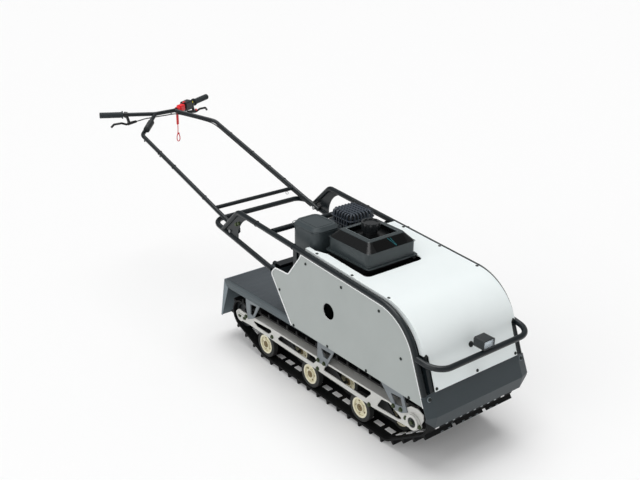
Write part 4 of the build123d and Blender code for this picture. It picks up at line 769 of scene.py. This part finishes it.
# Muffler cage: rounded bars bent over the can, with rings round the sides
cageSpec = {
    "middle": (365, 76), "half": (68.5, 70.0), "foot": 703, "shoulder": 766, "top": 786.5, "cornerCut": 21,
    "bar": 4.8, "rowsX": [-44, -26.4, -8.8, 8.8, 26.4, 44], "rowsY": [-46, -27.6, -9.2, 9.2, 27.6, 46],
    "postIn": 8, "postRun": 22, "rings": [709, 734, 759], "ring": 3.6, "ringOut": 0.6, "corner": 25,
}
cageX, cageY = cageSpec["middle"]
halfX, halfY = cageSpec["half"]
legHeights = [cageSpec["foot"], cageSpec["shoulder"], cageSpec["top"]]
cageBars = []


def overBar(points):
    cageBars.append(wire([place(*point) for point in points], cageSpec["bar"], 3, False, 4, 2))


def barRun(half):  # a bar's way up one side, over the can and down the other, as (run across, height)
    rise = [(-half, height) for height in legHeights] + [(cageSpec["cornerCut"] - half, cageSpec["top"])]
    return rise + [(0, cageSpec["top"])] + [(-run, height) for run, height in reversed(rise)]


for x in cageSpec["rowsX"]:
    overBar([(cageX + x, cageY + run, height) for run, height in barRun(halfY)])
for y in cageSpec["rowsY"]:
    overBar([(cageX + run, cageY + y, height) for run, height in barRun(halfX)])
for signX in (-1, 1):
    for signY in (-1, 1):
        postX, postY = cageX + signX * (halfX - cageSpec["postIn"]), cageY + signY * (halfY - cageSpec["postIn"])
        overBar([(postX, postY, height) for height in legHeights]
                + [(postX - signX * cageSpec["postRun"], postY - signY * cageSpec["postRun"], cageSpec["top"])])
ringReach = (halfX + cageSpec["ringOut"], halfY + cageSpec["ringOut"])
for height in cageSpec["rings"]:
    cageBars.append(loopWire(cageSpec["middle"], ringReach, cageSpec["corner"], height, cageSpec["ring"], 4))
cage = settle(joined(cageBars), "mufflerCage", "cageSlate", smoothAngle=60)
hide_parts("muffler_guard")

# Wire coil laid along the cage's far top edge
coilSpec = {"from": (296, 128, 790), "to": (430, 136, 786), "radius": 9.5, "turns": 9, "wire": 1.6, "steps": 10}
coilPoints = []
coilSteps = coilSpec["turns"] * coilSpec["steps"]
for k in range(coilSteps + 1):
    at = Vector(coilSpec["from"]).lerp(Vector(coilSpec["to"]), k / coilSteps)
    angle = 2 * math.pi * k / coilSpec["steps"]
    coilPoints.append(place(at.x, at.y + coilSpec["radius"] * math.cos(angle),
                            at.z + coilSpec["radius"] * math.sin(angle)))
settle(wire(coilPoints, coilSpec["wire"], 3, False, 3, 2), "cageCoil", "cableBlack", smoothAngle=60)
print("cage made")

# Fuel tank: flange beads, a dark sheet of painted reflection on the front slope with its stripe, cap lobes and a bolt
# tab
tankSpec = {
    # beads as ((reach along x, across y), corner, height, radius)
    "middle": (632, -42), "beads": [((143, 139), 28, 702.0, 2.6), ((134, 130), 28, 709.0, 2.6),
                                    ((132.6, 132.6), 22, 764, 1.2)], "recess": ((79, 79), 9, 802.4, 1.4),
    "reflectionCorners": [(764.6, 765.6), (728.6, 800.4)], "reflectionHalf": (118, 86), "reflectionCorner": 9, "reflectionThick": 0.9,
    "reflectionShort": 4, "stripe": [((-45, 0.95), (-19, 0.05)), ((-31, 0.95), (-17, 0.05))], "stripeRadius": 1.1,
    "stripeShort": 6, "stripeLift": 0.1,
    "lobe": [(6.6, 0), (7.4, 1.2), (7.4, 25), (6.4, 27.4), (3.4, 28.2)], "lobes": 9, "lobeRing": 35.4,
    "cap": (611, -32, 803),
    "tab": {"size": (22, 16, 5), "bevel": 1.2, "inset": (4, 1.2), "at": (780, 62, 700)},
}
beads = [loopWire(tankSpec["middle"], *bead) for bead in tankSpec["beads"]]
settle(joined(beads), "tankBeads", "tankBlack", smoothAngle=60)
# the recess rim's pale grey is painted highlight along the recess lip
settle(loopWire(tankSpec["middle"], *tankSpec["recess"]), "recessRim", "rimPaintedHighlight", smoothAngle=60)

capX, capY, capZ = tankSpec["cap"]
lobeSpots = []
for k in range(tankSpec["lobes"]):
    angle = 2 * math.pi * k / tankSpec["lobes"]
    lobeAt = place(capX + tankSpec["lobeRing"] * math.cos(angle), capY + tankSpec["lobeRing"] * math.sin(angle), capZ)
    lobeSpots.append((lobeAt, upWay, angle))
settle(spread(turned(14, tankSpec["lobe"]), lobeSpots), "capLobes", "capBlack", smoothAngle=50)

# The dark sheet of painted reflection narrows up the tank's front slope; its own y runs up the slope
(lowX, lowZ), (highX, highZ) = tankSpec["reflectionCorners"]
slope = Vector((highX - lowX, 0, highZ - lowZ))
slopeLength = slope.length
outward = leftWay.cross(slope).normalized()
reflectionTurn = Matrix((rightWay, slope.normalized(), outward)).transposed()
reflectionMiddle = place((lowX + highX) / 2, tankSpec["middle"][1], (lowZ + highZ) / 2)
bpy.ops.object.select_all(action='DESELECT')
bpy.ops.mesh.primitive_plane_add(size=0.001)
reflectionSheet = bpy.context.object
reflectionSheet.scale = (2 * tankSpec["reflectionHalf"][0], slopeLength - tankSpec["reflectionShort"], 1)
bpy.ops.object.transform_apply(location=True, rotation=True, scale=True)
for vertex in reflectionSheet.data.vertices:
    vertex.select = vertex.co.y > 0
bpy.ops.object.mode_set(mode='EDIT')
bpy.ops.transform.resize(value=(tankSpec["reflectionHalf"][1] / tankSpec["reflectionHalf"][0], 1, 1), center_override=(0, 0, 0))
bpy.ops.mesh.select_all(action='SELECT')
bpy.ops.mesh.bevel(offset=tankSpec["reflectionCorner"] / 1000, segments=5, affect='VERTICES')
bpy.ops.mesh.select_all(action='SELECT')
bpy.ops.mesh.extrude_region_move(TRANSFORM_OT_translate={"value": (0, 0, tankSpec["reflectionThick"] / 1000)})
bpy.ops.mesh.select_all(action='SELECT')
bpy.ops.mesh.normals_make_consistent(inside=False)
bpy.ops.object.mode_set(mode='OBJECT')
reflectionSheet.matrix_world = Matrix.Translation(reflectionMiddle) @ reflectionTurn.to_4x4()
settle(reflectionSheet, "tankPaintedReflection", "glossBlackAndPaintedReflection", smoothAngle=0)
stripes = []
stripeReach = slopeLength - tankSpec["stripeShort"]
for line in tankSpec["stripe"]:
    ends = []
    for across, up in line:
        local = Vector((0, (up - 0.5) * stripeReach, tankSpec["reflectionThick"] + tankSpec["stripeLift"])) / 1000
        ends.append(reflectionMiddle + reflectionTurn @ local + leftWay * (across - tankSpec["middle"][1]) / 1000)
    stripes.append(wire(ends, tankSpec["stripeRadius"], 2, False, 2, 1))
settle(joined(stripes), "tankStripe", "tealMark", smoothAngle=60)
tab = tankSpec["tab"]
settle(spread(block(tab["size"], tab["bevel"], 2, tab["inset"]), [(place(*tab["at"]), upWay, 0)]), "tankTab",
       "glossBlackAndPaintedReflection")

# Air filter: beads under the lid and round the raised field on it
filterSpec = {"middle": (386, -150), "beads": [((88.7, 73.2), 44, 776, 1.3), ((88.7, 73.2), 44, 768, 1.3),
                                               ((62, 46), 26, 790.3, 1.1)], "smooth": 6}
beads = [loopWire(filterSpec["middle"], *bead, filterSpec["smooth"]) for bead in filterSpec["beads"]]
settle(joined(beads), "filterBeads", "filterSlate", smoothAngle=60)
print("engine dressed")

# Headlight bezel, a level loop stood up across the lamp's face
bezelSpec = {"rim": (29.5, 18.8, 5.5), "at": (1288.2, 0, 526.5), "wire": 1.9}
bezelPoints = [place(*bezelSpec["at"]) + Vector((0, point.x, point.y))
               for point in roundLoop(-drawingShift, 0, *bezelSpec["rim"], 0)]
settle(wire(bezelPoints, bezelSpec["wire"], 3, True, 5, 2), "lampBezel", "mouldedBlack", smoothAngle=60)

# Pale bead round each side panel, a painted highlight along its rim, and the folds and ribs along the deck's lips
edgeSpec = {
    "corners": [(377, 314), (224, 521), (257, 554), (353, 558), (439, 668), (447, 685.2), (1098.4, 645.4),
                (1228.4, 314)],
    "radii": [0, 20, 4, 20, 8, 4, 221, 0], "y": 281.0, "bead": 2.9, "arcSteps": 8,
}


def roundedLine(corners, radii, steps):  # a line of points with its corners rounded
    points = [Vector(corners[0])]
    for before, at, after, radius in zip(corners, corners[1:], corners[2:], radii[1:]):
        at = Vector(at)
        toBefore, toAfter = (Vector(before) - at).normalized(), (Vector(after) - at).normalized()
        half = toBefore.angle(toAfter) / 2
        middle = at + (toBefore + toAfter).normalized() * radius / math.sin(half)
        start, end = at + toBefore * radius / math.tan(half) - middle, at + toAfter * radius / math.tan(half) - middle
        for k in range(steps + 1):
            points.append(middle + start.lerp(end, k / steps).normalized() * radius)
    points.append(Vector(corners[-1]))
    return points


edgeLine = roundedLine(edgeSpec["corners"], edgeSpec["radii"], edgeSpec["arcSteps"])
beads = []
for side in (-1, 1):
    sideLine = [place(point.x, side * edgeSpec["y"], point.y) for point in edgeLine]
    beads.append(wire(sideLine, edgeSpec["bead"], 2, False, 1, 2))
settle(joined(beads), "panelRimHighlights", "rimHighlightWhite", smoothAngle=60)

lipSpec = {"from": -197, "to": 392, "y": 265.3, "rear": (-199, 322), "slope": 0.02, "lines": [-3.0, -34.5],
           "shadeLines": [-10.5], "bead": 1.8, "ribs": 62, "ribSize": (1.6, 17, 1.2), "ribBevel": 0.4,
           "ribLine": -22.5}


def lipSpot(x, side, drop):
    rearX, rearZ = lipSpec["rear"]
    return place(x, side * lipSpec["y"], rearZ + lipSpec["slope"] * (x - rearX) + drop)


def lipBeads(drops):
    return joined([wire([lipSpot(x, side, drop) for x in (lipSpec["from"], lipSpec["to"])], lipSpec["bead"],
                        2, False, 1, 2) for side in (-1, 1) for drop in drops])


ribSpots = []
for side in (-1, 1):
    for k in range(lipSpec["ribs"]):
        x = lipSpec["from"] + (lipSpec["to"] - lipSpec["from"]) * (k + 0.5) / lipSpec["ribs"]
        ribSpots.append((lipSpot(x, side, lipSpec["ribLine"]), leftWay * side, 0))
settle(lipBeads(lipSpec["lines"]), "lipFolds", "lipSlate", smoothAngle=60)
settle(lipBeads(lipSpec["shadeLines"]), "lipShade", "foldShade", smoothAngle=60)
settle(spread(block(lipSpec["ribSize"], lipSpec["ribBevel"], 1), ribSpots), "lipRibs", "lipSlate", smoothAngle=0)

# Small knobs across the lugs, their pale tone a painted highlight of lit lug tips, seen as a bright row under the
# apron, and pads between the lugs
knobSpec = {"size": (13.6, 15, 5.2), "bevel": 1.2, "lift": 14.8, "step": 40, "reach": 4, "bareY": 88, "bareHalf": 12,
            "padSize": (16, 12, 4), "padBevel": 1.0, "padLift": 1.6}
knobYs = [k * knobSpec["step"] for k in range(-knobSpec["reach"], knobSpec["reach"] + 1)]
knobYs = [y for y in knobYs if abs(abs(y) - knobSpec["bareY"]) > knobSpec["bareHalf"]]
padYs = [(k + 0.5) * knobSpec["step"] for k in range(-knobSpec["reach"], knobSpec["reach"])]
settle(copied(block(knobSpec["size"], knobSpec["bevel"], 1), beltFrames(stations, knobYs, knobSpec["lift"])),
       "lugKnobs", "lugTipHighlight", smoothAngle=0)
settle(copied(block(knobSpec["padSize"], knobSpec["padBevel"], 1), beltFrames(between, padYs, knobSpec["padLift"])),
       "beltPads", "padSteel", smoothAngle=0)
print("edges and lips made")

# Floor
floorSpec = {"half": 30.0, "tone": (234, 234, 234), "roughness": 0.85, "lift": 0.085, "drop": 0.0005}
bpy.ops.mesh.primitive_plane_add(size=2 * floorSpec["half"], location=(0, 0, -floorSpec["drop"]))
floor = bpy.context.object
floor.name = "floor"
floorMaterial = bpy.data.materials.new("floorPale")
floorMaterial.use_nodes = True
tree = floorMaterial.node_tree
shader = setInputs(tree.nodes["Principled BSDF"], {
    "Roughness": floorSpec["roughness"], "Base Color": shade(floorSpec["tone"]), "Emission Color": (1, 1, 1, 1)})
seen = newNode(tree, "LightPath")
lift = mathNode(tree, 'MULTIPLY', seen.outputs["Is Camera Ray"], floorSpec["lift"])
tree.links.new(lift, shader.inputs["Emission Strength"])
floor.data.materials.append(floorMaterial)
